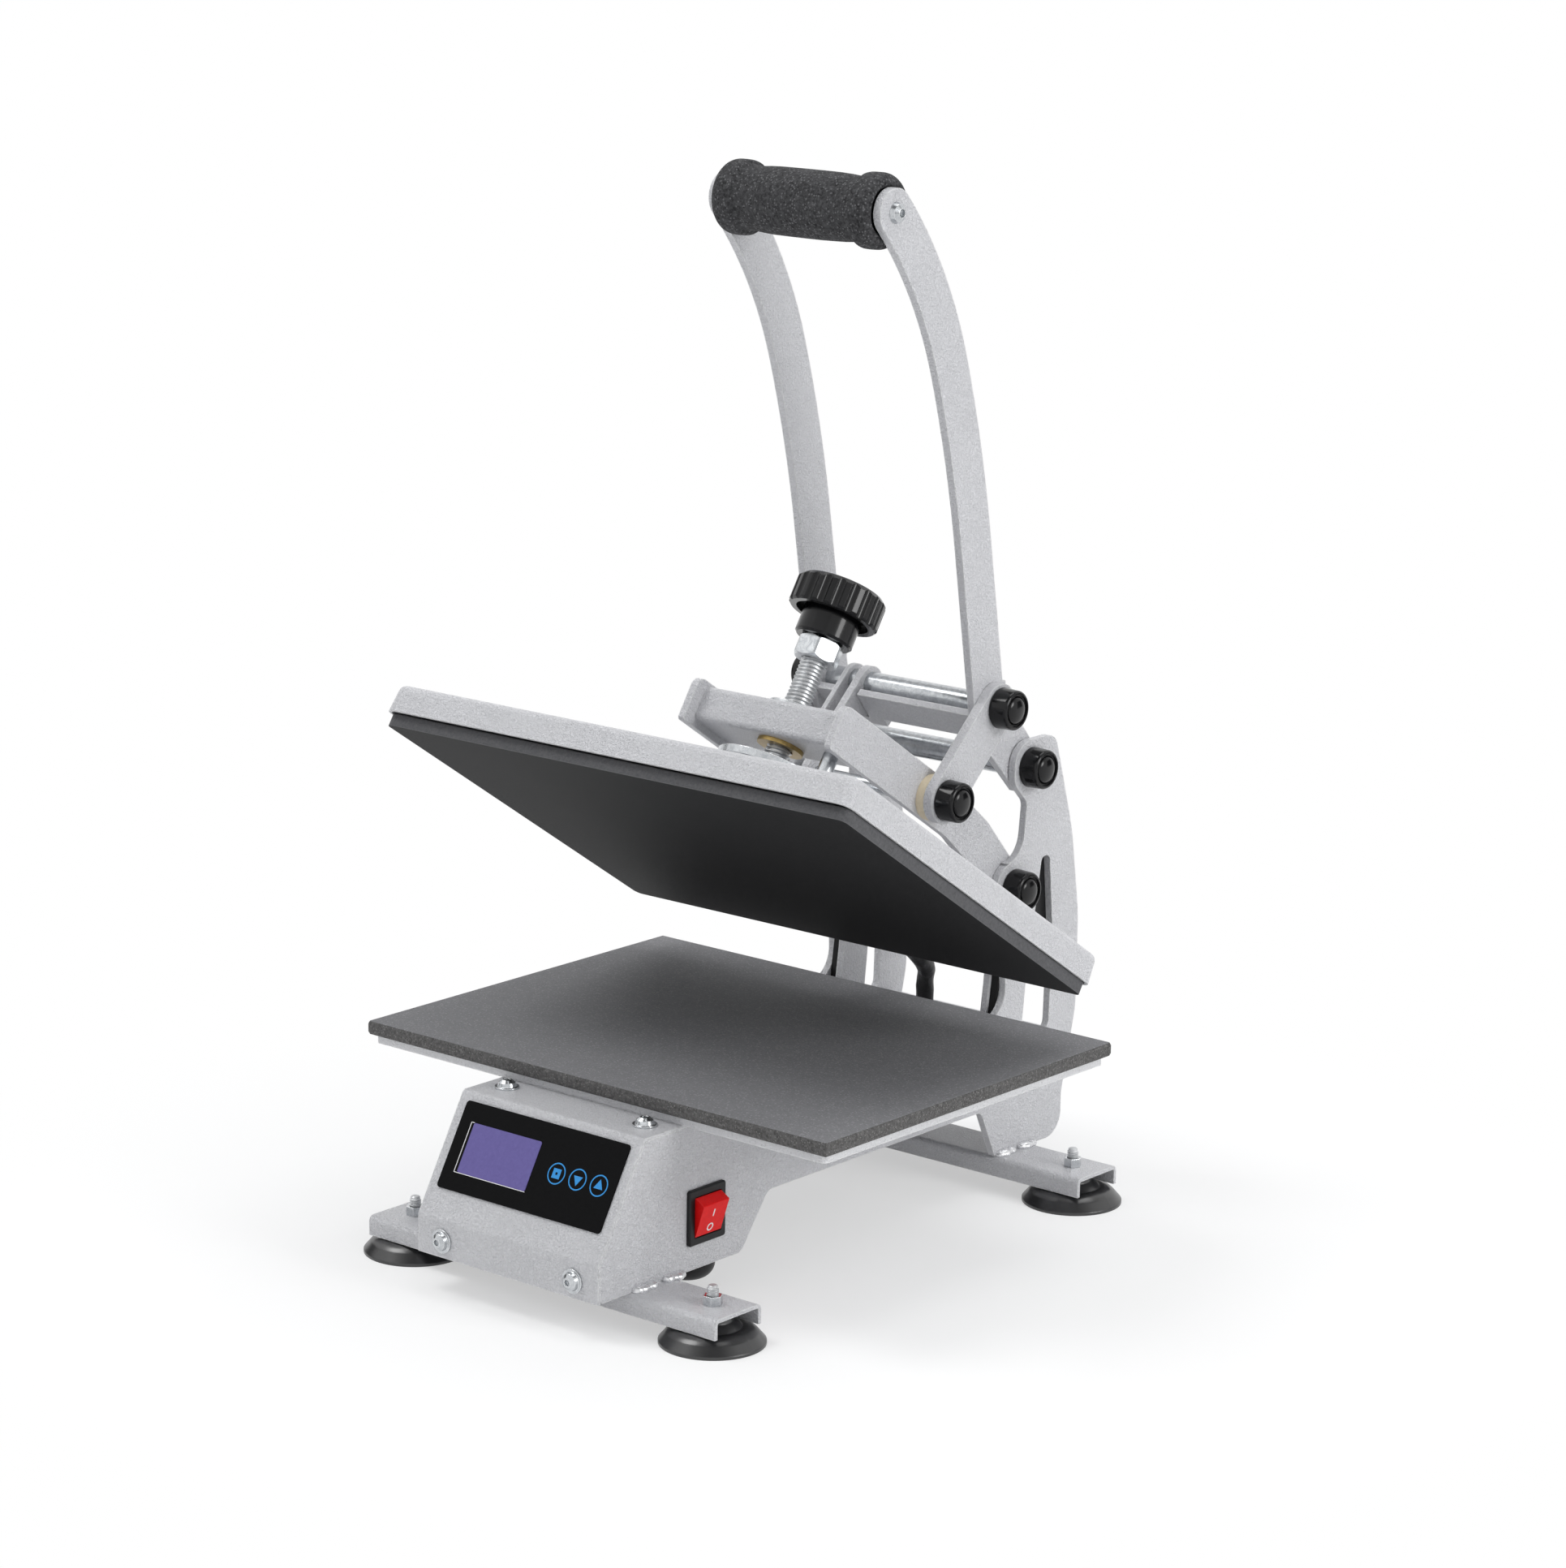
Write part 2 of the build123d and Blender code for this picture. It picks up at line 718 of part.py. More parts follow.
def cable_tube(points, radii):
    path = FilletPolyline(*points, radius=radii)
    start = Plane(path @ 0, z_dir=path % 0)
    tube = sweep(start * Circle(cable_radius), path=path)
    whole = pi * cable_radius ** 2 * path.length
    print("cable radii", radii, "length", round(path.length, 1), "volume", round(tube.volume / whole, 4))
    return tube


def heater_cable():
    near, far = cable_route[1], cable_route[2]
    join = tuple(a + (b - a) * cable_join for a, b in zip(near, far))
    keep("heater_cable_upper", cable_tube(cable_route[:2] + [join], cable_bends[:1]))
    keep("heater_cable_lower", cable_tube([join] + cable_route[2:], cable_bends[1:]))

    hole = cable_radius + fit_gap
    ring = extrude(Circle(grommet_radius) - Circle(hole), amount=grommet_lip)

    def grommet(wall):
        sleeve = extrude(Circle(grommet_radius - grommet_lip) - Circle(hole), amount=wall)
        return Pos(0, 0, wall) * ring + sleeve + Pos(0, 0, -grommet_lip) * ring

    cross_grommet = Pos(cable_x, cable_route[3][1], cross_plate_z) * grommet(cross_plate_thickness)
    wall_z = cable_route[-1][2]
    wall_grommet = Pos(cable_x, box_rear - sheet, wall_z) * Rot(-90, 0, 0) * grommet(sheet)

    # P-clip that hangs the cable under the lower platen
    band = hole + clip_wall
    strap = Rot(90, 0, 0) * extrude(Circle(band), amount=clip_width / 2, both=True)
    leg = z_box((hole, band), (-clip_width / 2, clip_width / 2), (0, platen_underside - wall_z))
    tab = z_box((hole, band + clip_tab), (-clip_width / 2, clip_width / 2),
                (platen_underside - wall_z - clip_wall, platen_underside - wall_z))
    clip = strap + leg + tab - Rot(90, 0, 0) * Cylinder(hole, 2 * clip_width)
    keep("cable_guides", [cross_grommet, wall_grommet, Pos(cable_x, clip_y, wall_z) * clip])


def inlet():
    top = plate_bottom + 1.0
    x, y = inlet_gland
    low = top - inlet_gland_drop
    gland = lathe([
        (inlet_hole, low, 0),
        (inlet_gland_radius * 0.95, low, inlet_gland_radius * 0.55),
        (inlet_gland_radius, top, 0),
        (inlet_neck, top, 0),
        (inlet_neck, top + sheet + 3.0, 0),
        (inlet_hole, top + sheet + 3.0, 0),
    ])
    keep("inlet_gland", Pos(x, y, 0) * gland)


# Pivot shafts, spacer tubes and domed caps
def cap():
    """Domed end cap with its seat at z = 0 and a blind bore for the shaft."""
    rim = cap_length - cap_lip
    shoulder = cap_radius - cap_taper
    return Rot(0, 90, 0) * lathe([
        (pin_bore, 0, 0),
        (cap_radius, 0, 0),
        (shoulder, rim, cap_round),
        (cap_dome_radius + cap_groove, rim, 0),
        (cap_dome_radius, rim - 2 * cap_lip, 0),
        (cap_dome_radius * 0.8, cap_length, 4.6),
        (0, cap_length, 0),
        (0, cap_bore_depth, 0),
        (pin_bore, cap_bore_depth, 0),
    ])


def capped(point, seat_x):
    return both_sides(Pos(seat_x, point[0], point[1]) * cap())


def pivots():
    reach = frame_half_width + cap_bore_depth - side_gap
    keep("pivot_shafts", [x_rod(point, -reach, reach, pin_radius) for point in (arm_pivot, handle_pivot)])
    keep("pivot_caps", capped(arm_pivot, frame_half_width) + capped(handle_pivot, frame_half_width))
    keep("arm_spacer_tube", x_tube(
        arm_pivot, -inner_plate_inner, inner_plate_inner, rod_radius, pin_bore))


# Arm: two joggled plates, the box-section crossbar and its threaded boss
def arm():
    tail_y, tail_z = arm_pivot
    side = outline([
        (arm_front, arm_bottom, 2.0),
        (arm_front, arm_top, 5.0),
        (92.0, arm_top, 40.0),
        (tail_y - 4.0, tail_z + arm_tail_radius, 12.0),
        (tail_y + arm_tail_radius, tail_z + arm_tail_radius, 13.0),
        (tail_y + arm_tail_radius, tail_z - arm_tail_radius, 13.0),
        (tail_y - 8.0, tail_z - arm_tail_radius, 13.0),
        (96.0, arm_bottom, 30.0),
    ])
    side = side - bore(arm_pivot, pin_bore) - bore(link_pin_closed, pin_bore)
    inner, outer = arm_inner, arm_inner + arm_thickness
    bend = 1.0
    plan = make_face(Polyline(
        (inner, arm_front - 5),
        (inner, joggle_start + bend),
        (inner + arm_joggle, joggle_end + bend),
        (inner + arm_joggle, tail_y + 30),
        (outer + arm_joggle, tail_y + 30),
        (outer + arm_joggle, joggle_end - bend),
        (outer, joggle_start - bend),
        (outer, arm_front - 5),
        close=True,
    ))
    plan_slab = Pos(0, 0, arm_bottom - 60) * extrude(plan, amount=120)
    plate = side_slab(side, arm_inner - 5, side_inner + 5) & plan_slab
    plate = opened * plate
    keep("arm_plate_right", plate)
    keep("arm_plate_left", mirror(plate, about=Plane.YZ))

    rear = crossbar_front + crossbar_depth
    tube = outline([
        (crossbar_front, crossbar_bottom, 3.0),
        (crossbar_front, crossbar_top, 3.0),
        (rear, crossbar_top, 3.0),
        (rear, crossbar_bottom, 3.0),
    ])
    hollow = outline([
        (crossbar_front + crossbar_wall, crossbar_bottom + crossbar_wall, 1.0),
        (crossbar_front + crossbar_wall, crossbar_top - crossbar_wall, 1.0),
        (rear - crossbar_wall, crossbar_top - crossbar_wall, 1.0),
        (rear - crossbar_wall, crossbar_bottom + crossbar_wall, 1.0),
    ])
    crossbar = side_slab(tube - hollow, -arm_inner, arm_inner)
    span = (crossbar_bottom - 1, crossbar_top + 1)
    crossbar = crossbar - z_rod(0, spindle_y, *span, boss_radius + fit_gap)
    crossbar = crossbar - z_rod(guide_pin_x, spindle_y, *span, guide_pin_radius + fit_gap)
    keep("arm_crossbar", opened * crossbar)

    thread_bore = spindle_radius + fit_gap
    boss = z_rod(0, spindle_y, crossbar_bottom, crossbar_top, boss_radius)
    boss = boss + z_rod(0, spindle_y, crossbar_top, crossbar_top + boss_collar, boss_radius + 2.0)
    boss = boss - z_rod(0, spindle_y, crossbar_bottom - 1, crossbar_top + 3, thread_bore)
    keep("threaded_boss", opened * boss)
    brass = z_rod(0, spindle_y, crossbar_bottom - brass_thickness, crossbar_bottom, brass_radius)
    brass = brass - z_rod(0, spindle_y, crossbar_bottom - 5, crossbar_bottom + 1, thread_bore)
    keep("brass_washer", opened * brass)

    outer = arm_inner + arm_thickness
    washer_end = link_inner - fit_gap
    keep("link_pins", [opened * pin for pin in both_sides(
        x_rod(link_pin_closed, arm_inner, washer_end, pin_radius))])
    keep("nylon_washers", [opened * ring for ring in both_sides(
        x_tube(link_pin_closed, outer, washer_end, nylon_radius, pin_bore))])


# Upper platen: cast plate with its heater, insulation, cover and swivel flange
def element_path(level):
    half_x = heater_length / 2 - element_margin
    front = heater_middle_y - heater_depth / 2 + element_margin
    rear = heater_middle_y + heater_depth / 2 - element_margin
    points = [
        (-half_x, rear, level),
        (-half_x, front, level),
        (half_x, front, level),
        (half_x, rear, level),
    ]
    return FilletPolyline(*points, radius=element_bend)


def upper_platen():
    core_top = heater_underside + heater_flange + heater_core_height
    middle = Pos(0, heater_middle_y, heater_underside)
    flange = extrude(RectangleRounded(heater_length, heater_depth, 4.0), amount=heater_flange)
    core_length = heater_length - 2 * heater_core_inset
    core_depth = heater_depth - 2 * heater_core_inset
    core = extrude(RectangleRounded(core_length, core_depth, 6.0),
                   amount=heater_flange + heater_core_height)
    path = element_path(core_top)
    start = Plane(path @ 0, z_dir=path % 0)
    element = sweep(start * Circle(element_radius), path=path)
    groove = sweep(start * Circle(element_radius + fit_gap), path=path)
    plate = middle * (flange + core) - groove
    screw_places = [(x, spindle_y + y) for x in (-flange_screw_offset, flange_screw_offset)
                    for y in (-flange_screw_offset, flange_screw_offset)]
    screw_bottom = core_top - heater_core_height
    for x, y in screw_places:
        plate = plate - z_rod(x, y, screw_bottom, core_top + 1, flange_screw_radius + fit_gap)
    keep("heating_plate", opened * plate)
    keep("heating_element", opened * element)

    sheet_low = core_top + element_radius + fit_gap
    sheet_face = RectangleRounded(core_length - 12, core_depth - 12, 6.0)
    insulation = Pos(0, heater_middle_y, sheet_low) * extrude(sheet_face, amount=insulation_thickness)
    for x, y in screw_places:
        insulation = insulation - z_rod(x, y, sheet_low - 1, sheet_low + 9, flange_screw_radius + fit_gap)
    keep("insulation_sheet", opened * insulation)

    sensor_x = heater_length / 2 - sensor_from_end
    sensor = z_rod(sensor_x, sensor_y, core_top, core_top + element_radius, sensor_radius)
    tongue = (sensor_y - sensor_tongue_width / 2, sensor_y + sensor_tongue_width / 2)
    sensor = sensor + z_box(
        (sensor_x, sensor_x + sensor_tongue_length), tongue, (core_top, core_top + sensor_tongue_thickness))
    keep("thermal_sensor", opened * sensor)

    rim_z = heater_underside + heater_flange + seat_gap
    height = cover_top - rim_z
    outside = extrude(RectangleRounded(cover_length, cover_depth, cover_corner), amount=height,
                      taper=cover_draft)
    outside = fillet(outside.faces().sort_by(Axis.Z)[-1].edges(), cover_edge)
    inside = extrude(
        RectangleRounded(cover_length - 2 * cover_wall, cover_depth - 2 * cover_wall,
                         cover_corner - cover_wall),
        amount=height - cover_wall, taper=cover_draft)
    inside = fillet(inside.faces().sort_by(Axis.Z)[-1].edges(), cover_edge - cover_wall)
    cover = Pos(0, heater_middle_y, rim_z) * (outside - inside)
    for x, y in screw_places:
        cover = cover - z_rod(x, y, cover_top - 4, cover_top + 1, flange_screw_radius + fit_gap)
    rear_y = heater_middle_y + cover_depth / 2
    gland_place = Pos(cable_exit_x, rear_y, cable_exit_z) * Rot(-90, 0, 0)
    cover = cover - gland_place * Cylinder(gland_neck + fit_gap, 12.0)
    keep("platen_cover", opened * cover)

    hole = Circle(cable_radius + fit_gap)
    ring = extrude(Circle(gland_ring) - hole, amount=gland_lip)
    neck = extrude(Circle(gland_neck) - hole, amount=-gland_depth)
    boot = extrude(Circle(gland_boot), amount=gland_reach, taper=5) - extrude(hole, amount=gland_reach)
    gland = ring + neck + Pos(0, 0, gland_lip) * boot
    keep("cable_gland", opened * (gland_place * gland))

    flange_top = cover_top + flange_plate_thickness
    disc_low = flange_disc_top - flange_disc_thickness
    block = extrude(RectangleRounded(flange_plate, flange_plate, flange_plate_corner),
                    amount=flange_plate_thickness)
    block = Pos(0, spindle_y, cover_top) * block
    block = block + z_rod(0, spindle_y, flange_top, disc_low, flange_neck_radius)
    block = block + z_rod(0, spindle_y, disc_low, flange_disc_top, flange_disc_radius)
    journal = spindle_radius + fit_gap
    block = block - z_rod(0, spindle_y, spindle_bottom - fit_gap, flange_disc_top + 1, journal)
    for x, y in screw_places:
        block = block - z_rod(x, y, cover_top - 1, flange_top + 1, flange_screw_radius + fit_gap)
    block = block - z_rod(guide_pin_x, spindle_y, cover_top - 1, flange_disc_top + 1,
                          guide_pin_radius + fit_gap)
    keep("spindle_flange", opened * block)

    head = z_rod(0, 0, flange_top, flange_top + flange_head_height, flange_head_radius)
    head = chamfer(head.edges().group_by(Axis.Z)[-1], 1.0)
    screw = head + z_rod(0, 0, screw_bottom, flange_top, flange_screw_radius)
    keep("flange_screws", [opened * (Pos(x, y, 0) * screw) for x, y in screw_places])
    pin = z_rod(guide_pin_x, spindle_y, cover_top, crossbar_top + 0.8, guide_pin_radius)
    pin = chamfer(pin.edges().group_by(Axis.Z)[-1], 0.8)
    keep("guide_pin", opened * pin)


# Pressure spindle with its lock nut and fluted knob
def spindle():
    knob_low = lock_nut_bottom + lock_nut_height
    top = knob_low + knob_bore_depth
    rod = z_rod(0, spindle_y, spindle_bottom, top, spindle_radius)
    nut_low = flange_disc_top + fit_gap
    thrust = Pos(0, spindle_y, nut_low) * extrude(
        RegularPolygon(lock_nut_flats / 2, 6, major_radius=False), amount=thrust_nut_height)
    keep("pressure_spindle", opened * (rod + thrust))
    bore_radius = spindle_radius + fit_gap
    hexagon = RegularPolygon(lock_nut_flats / 2, 6, major_radius=False)
    nut = extrude(hexagon, amount=lock_nut_height)
    crown = extrude(Circle(lock_nut_flats / 2 * 1.12), amount=lock_nut_height)
    crown = chamfer(crown.edges().group_by(Axis.Z)[0] + crown.edges().group_by(Axis.Z)[-1], 1.4)
    nut = (nut & crown) - extrude(Circle(bore_radius), amount=lock_nut_height)
    keep("lock_nut", opened * (Pos(0, spindle_y, lock_nut_bottom) * nut))

    disc_low, disc_top = knob_hub_height, knob_hub_height + knob_height
    rim = knob_radius - knob_rim
    knob = lathe([
        (bore_radius, 0, 0),
        (knob_hub_radius - 1.2, 0, 0),
        (knob_hub_radius, 1.2, 0),
        (knob_hub_radius, disc_low + knob_recess, 0),
        (rim, disc_low + knob_recess, 0),
        (rim, disc_low, 0),
        (knob_radius - 1.2, disc_low, 0),
        (knob_radius, disc_low + 1.2, 0),
        (knob_radius, disc_top - 2.4, 0),
        (knob_radius - 2.4, disc_top, 0),
        (0, disc_top, 0),
        (0, knob_bore_depth, 0),
        (bore_radius, knob_bore_depth, 0),
    ])
    flute = extrude(Circle(knob_flute_radius), amount=knob_height + 2)
    flute_reach = knob_radius + knob_flute_radius - knob_flute_depth
    for index in range(knob_flutes):
        turn = Rot(0, 0, 360 / knob_flutes * index)
        knob = knob - turn * Pos(flute_reach, 0, disc_low - 1) * flute
    keep("pressure_knob", opened * (Pos(0, spindle_y, knob_low) * knob))


# Handle: two curved flat bars, a brace, the crank rod and the foam grip
def handle_curve():
    lean = radians(handle_lean)
    start = Vector(*handle_start)
    heading = Vector(-sin(lean), cos(lean))
    straight = Line(start, start + heading * handle_straight)
    bend = JernArc(straight @ 1, heading, handle_bend_radius, handle_bend)
    top = JernArc(bend @ 1, bend % 1, handle_top_radius, handle_top_bend)
    return [straight, bend, top]


handle_line = handle_curve()
grip_axis = ((handle_line[-1] @ 1).X, (handle_line[-1] @ 1).Y)


def handle():
    along = Vector(handle_pivot[0] - crank_pin[0], handle_pivot[1] - crank_pin[1]).normalized()
    across = Vector(-along.Y, along.X)
    pin = Vector(*crank_pin)
    pivot = Vector(*handle_pivot)
    front_low = pivot - across * crank_front_offset * 0.72 + along * 6
    front_top = pin - across * crank_front_offset - along * 2
    rear_low = pivot + across * crank_rear_offset + along * crank_end_radius
    crank = outline([
        (pin.X + handle_half * 0.9, pin.Y + 12, 0),
        (pin.X + across.X * 11 + along.X * 6, pin.Y + across.Y * 11 + along.Y * 6, 20.0),
        (pivot.X + across.X * 12.6, pivot.Y + across.Y * 12.6, 0.0),
        (pivot.X + along.X * 12.6, pivot.Y + along.Y * 12.6, 0.0),
        (front_low.X, front_low.Y, 0.0),
        (front_top.X + along.X * 4, front_top.Y + along.Y * 4, 16.0),
        (pin.X - handle_half * 1.12, pin.Y + 12, 0),
    ])
    face = crank + bore(handle_pivot, crank_end_radius) + bore(grip_axis, handle_half)
    for edge in handle_line:
        face = face + trace(edge, 2 * handle_half)
    face = face - bore(crank_pin, pin_bore) - bore(handle_pivot, pin_bore)
    face = face - bore(grip_axis, grip_screw_radius + fit_gap)
    plate = side_slab(face, handle_inner, handle_outer)
    keep("handle_plate_right", plate)
    keep("handle_plate_left", mirror(plate, about=Plane.YZ))

    def flat_bar(start, end):
        """Side view of a flat bar from the brace's top edge, between two distances."""
        low = Vector(*brace_start)
        corners = [
            low + along * start,
            low + along * end,
            low + along * end + across * brace_thickness,
            low + along * start + across * brace_thickness,
        ]
        return make_face(Polyline(*[(corner.X, corner.Y) for corner in corners], close=True))

    gap_low = middle_link_spans[0][0] - brace_gap
    gap_high = middle_link_spans[-1][1] + brace_gap
    brace = side_slab(flat_bar(0, brace_width), gap_high, handle_inner)
    brace = brace + side_slab(flat_bar(0, brace_width), -handle_inner, gap_low)
    bridge = flat_bar(brace_width, brace_width + brace_bridge)
    brace = brace + side_slab(bridge, -handle_inner, gap_high + 2 * brace_bridge)
    keep("handle_brace", brace)

    rod = x_rod(crank_pin, -handle_inner, handle_inner, rod_radius)
    seat = link_outer + side_gap
    reach = seat + cap_bore_depth - side_gap
    keep("crank_shaft", rod + x_rod(crank_pin, -reach, reach, pin_radius))
    keep("crank_caps", capped(crank_pin, seat))
    keep("pivot_sleeve", x_tube(handle_pivot, -handle_inner, handle_inner, rod_radius, pin_bore))

    tube = x_rod(grip_axis, -handle_inner, handle_inner, grip_tube_radius)
    for sign in (-1, 1):
        low_x, high_x = sorted((sign * (handle_inner - grip_plug_depth), sign * handle_inner))
        tube = tube - x_rod(grip_axis, low_x, high_x, grip_screw_radius + fit_gap)
    middle = handle_inner - grip_plug_depth
    tube = tube - x_rod(grip_axis, -middle, middle, grip_tube_bore)
    keep("grip_tube", tube)

    half = handle_inner - seat_gap
    neck = half - grip_collar_width
    foam_bore = grip_tube_radius + fit_gap
    end = [
        (foam_bore, half, 0),
        (grip_collar_radius, half, grip_round),
        (grip_collar_radius, neck + 1.5, 0),
        (grip_radius - 0.4, neck, 0),
    ]
    far_end = [(radius, -height, rounding) for radius, height, rounding in reversed(end)]
    foam = Rot(0, 90, 0) * lathe(end + [(grip_radius, 0, 0)] + far_end)
    keep("foam_grip", Pos(0, grip_axis[0], grip_axis[1]) * foam)

    screw = lathe([
        (0, 0, 0),
        (grip_head_radius, 0, 0),
        (grip_head_radius * 0.84, grip_head_height * 0.62, 0),
        (grip_head_radius * 0.45, grip_head_height, 0),
        (0, grip_head_height, 0),
    ])
    screw = screw + z_rod(0, 0, -grip_screw_length, 0, grip_screw_radius)
    socket = Pos(0, 0, grip_head_height - 2.2) * extrude(
        RegularPolygon(2.0, 6, major_radius=False), amount=3)
    screw = Pos(handle_outer, *grip_axis) * Rot(0, 90, 0) * (screw - socket)
    keep("grip_screws", both_sides(screw))


# Links from the crank rod down to the arm
def links():
    plate = bar_between(crank_pin, link_pin, link_half_width)
    plate = plate - bore(crank_pin, pin_bore) - bore(link_pin, pin_bore)
    keep("link_plates", both_sides(side_slab(plate, link_inner, link_outer)))
    slim = bar_between(crank_pin, link_pin, middle_link_half_width)
    slim = slim - bore(crank_pin, rod_radius + fit_gap) - bore(link_pin, pin_bore)
    keep("middle_links", [side_slab(slim, low, high) for low, high in middle_link_spans])
    inside = arm_inner - side_gap
    reach = link_outer + cap_bore_depth - side_gap
    middle = x_rod(link_pin, -inside, inside, pin_radius)
    stubs = both_sides(x_rod(link_pin, link_inner, reach, pin_radius))
    keep("link_pivot_shaft", [middle] + stubs)
    keep("link_caps", capped(link_pin, link_outer))


lower_bed()
frame_plates()
base()
control_box()
box_screws()
rocker_switch()
heater_cable()
inlet()
pivots()
arm()
upper_platen()
spindle()
handle()
links()

# The origin is under the middle of the press, measured from front to back
screw_front = box_front - washer_thickness - button_head_height
middle_y = (screw_front + upright_rear) / 2
to_middle = Pos(0, -middle_y, 0)
print("middle_y", round(middle_y, 4), "link pin", link_pin, "grip axis", grip_axis)

os.makedirs("parts", exist_ok=True)
for name, shape in parts.items():
    export_step(to_middle * shape, "parts/" + name + ".step")
print(len(parts), "nodes written")
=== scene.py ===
# Clamshell craft heat press, opened, on a pale studio floor
import json
import math

import bpy
from mathutils import Matrix, Vector


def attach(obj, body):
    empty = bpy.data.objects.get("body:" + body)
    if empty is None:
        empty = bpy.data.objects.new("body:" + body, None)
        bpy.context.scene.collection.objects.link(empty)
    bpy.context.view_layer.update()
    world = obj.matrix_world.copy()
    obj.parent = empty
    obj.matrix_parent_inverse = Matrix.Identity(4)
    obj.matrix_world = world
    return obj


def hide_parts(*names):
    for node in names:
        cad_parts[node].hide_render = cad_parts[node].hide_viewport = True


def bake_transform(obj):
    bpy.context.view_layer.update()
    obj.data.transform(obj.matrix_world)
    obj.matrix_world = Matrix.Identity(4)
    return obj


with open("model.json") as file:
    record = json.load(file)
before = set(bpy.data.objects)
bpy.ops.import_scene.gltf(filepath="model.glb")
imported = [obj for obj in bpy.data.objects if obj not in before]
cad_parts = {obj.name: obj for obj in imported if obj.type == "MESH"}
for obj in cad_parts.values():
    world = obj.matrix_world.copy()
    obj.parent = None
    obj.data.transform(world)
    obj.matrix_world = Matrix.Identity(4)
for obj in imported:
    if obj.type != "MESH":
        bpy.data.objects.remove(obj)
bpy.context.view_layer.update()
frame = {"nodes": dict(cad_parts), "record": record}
nodes = frame["nodes"]
slotOf = {s["node"]: s["material_slot"] for s in frame["record"]["subparts"]}
mm = 0.001
print("frame loaded:", len(nodes), "nodes")


# The press is drawn in millimetres about the middle of the pad, and the frame about the middle of its box
middleY = 16.25
armPivot = (151.0, 163.5)      # y, z
openAngle = 33.0


def spot(x, y, z):
    return Vector((x, y - middleY, z)) * mm


def shift(x, y, z):
    return Matrix.Translation(spot(x, y, z))


openTurn = (shift(0, *armPivot) @ Matrix.Rotation(math.radians(-openAngle), 4, "X")
            @ shift(0, *armPivot).inverted())      # from the closed press to the open one


# Camera, as the photo was taken
cameraLook = {
    "azimuth": 39.82,
    "elevation": 13.32,
    "roll": 0.83,
    "focalPixels": 5688.7,
    "imageWidth": 1930,
    "sensorWidth": 36.0,
    "place": (1.4652, -1.74075, 0.7722),
    "clipStart": 0.05,
    "clipEnd": 30.0,
}


def addCamera(look):
    a, e, r = (math.radians(look[k]) for k in ("azimuth", "elevation", "roll"))
    back = Vector((math.sin(a) * math.cos(e), -math.cos(a) * math.cos(e), math.sin(e)))
    right = Vector((math.cos(a), math.sin(a), 0))
    up = back.cross(right)
    tiltedRight = math.cos(r) * right + math.sin(r) * up
    tiltedUp = -math.sin(r) * right + math.cos(r) * up
    turn = Matrix((tiltedRight, tiltedUp, back)).transposed()
    bpy.ops.object.camera_add()
    camera = bpy.context.object
    camera.name = "photoCamera"
    camera.matrix_world = Matrix.Translation(look["place"]) @ turn.to_4x4()
    camera.data.sensor_fit = "HORIZONTAL"
    camera.data.sensor_width = look["sensorWidth"]
    camera.data.lens = look["focalPixels"] / look["imageWidth"] * look["sensorWidth"]
    camera.data.clip_start = look["clipStart"]
    camera.data.clip_end = look["clipEnd"]
    bpy.context.scene.camera = camera


addCamera(cameraLook)
print("camera placed")


# Shared shader groups
def newGroup(name, inputs, outputs):
    group = bpy.data.node_groups.new(name, "ShaderNodeTree")
    for label, kind, value in inputs:
        socket = group.interface.new_socket(name=label, in_out="INPUT", socket_type=kind)
        socket.default_value = value
    for label, kind in outputs:
        group.interface.new_socket(name=label, in_out="OUTPUT", socket_type=kind)
    return group, group.nodes.new("NodeGroupInput"), group.nodes.new("NodeGroupOutput")


def mathNode(tree, operation, *values, clamp=False):
    node = tree.nodes.new("ShaderNodeMath")
    node.operation = operation
    node.use_clamp = clamp
    for socket, value in zip(node.inputs, values):
        if isinstance(value, (int, float)):
            socket.default_value = value
        else:
            tree.links.new(value, socket)
    return node.outputs[0]


def noiseNode(tree, place, scale, detail, roughness, distortion=0.0):
    noise = tree.nodes.new("ShaderNodeTexNoise")
    noise.inputs["Detail"].default_value = detail
    noise.inputs["Roughness"].default_value = roughness
    noise.inputs["Distortion"].default_value = distortion
    tree.links.new(place, noise.inputs["Vector"])
    tree.links.new(scale, noise.inputs["Scale"])
    return noise.outputs["Fac"]


grainShape = {
    "roughness": 0.55,
    "fineDetail": 4.0,
    "fineDistortion": 0.9,
    "wideDetail": 2.0,
    "wideShare": 0.16,
}


def makeGrainGroup(shape):      # fine relief with a slow drift of shade over it
    group, enter, leave = newGroup(
        "coatGrain",
        [("Cell Size", "NodeSocketFloat", 900.0), ("Wave Size", "NodeSocketFloat", 90.0)],
        [("Height", "NodeSocketFloat"), ("Shade", "NodeSocketFloat")],
    )
    place = group.nodes.new("ShaderNodeTexCoord").outputs["Object"]
    fine = noiseNode(group, place, enter.outputs["Cell Size"], shape["fineDetail"], shape["roughness"],
                     shape["fineDistortion"])
    wide = noiseNode(group, place, enter.outputs["Wave Size"], shape["wideDetail"], shape["roughness"])
    slow = mathNode(group, "MULTIPLY", wide, shape["wideShare"])
    shade = mathNode(group, "MULTIPLY_ADD", fine, 1 - shape["wideShare"], slow)
    group.links.new(fine, leave.inputs["Height"])
    group.links.new(shade, leave.inputs["Shade"])
    return group


edgeShape = {"samples": 6, "gain": 11.0}


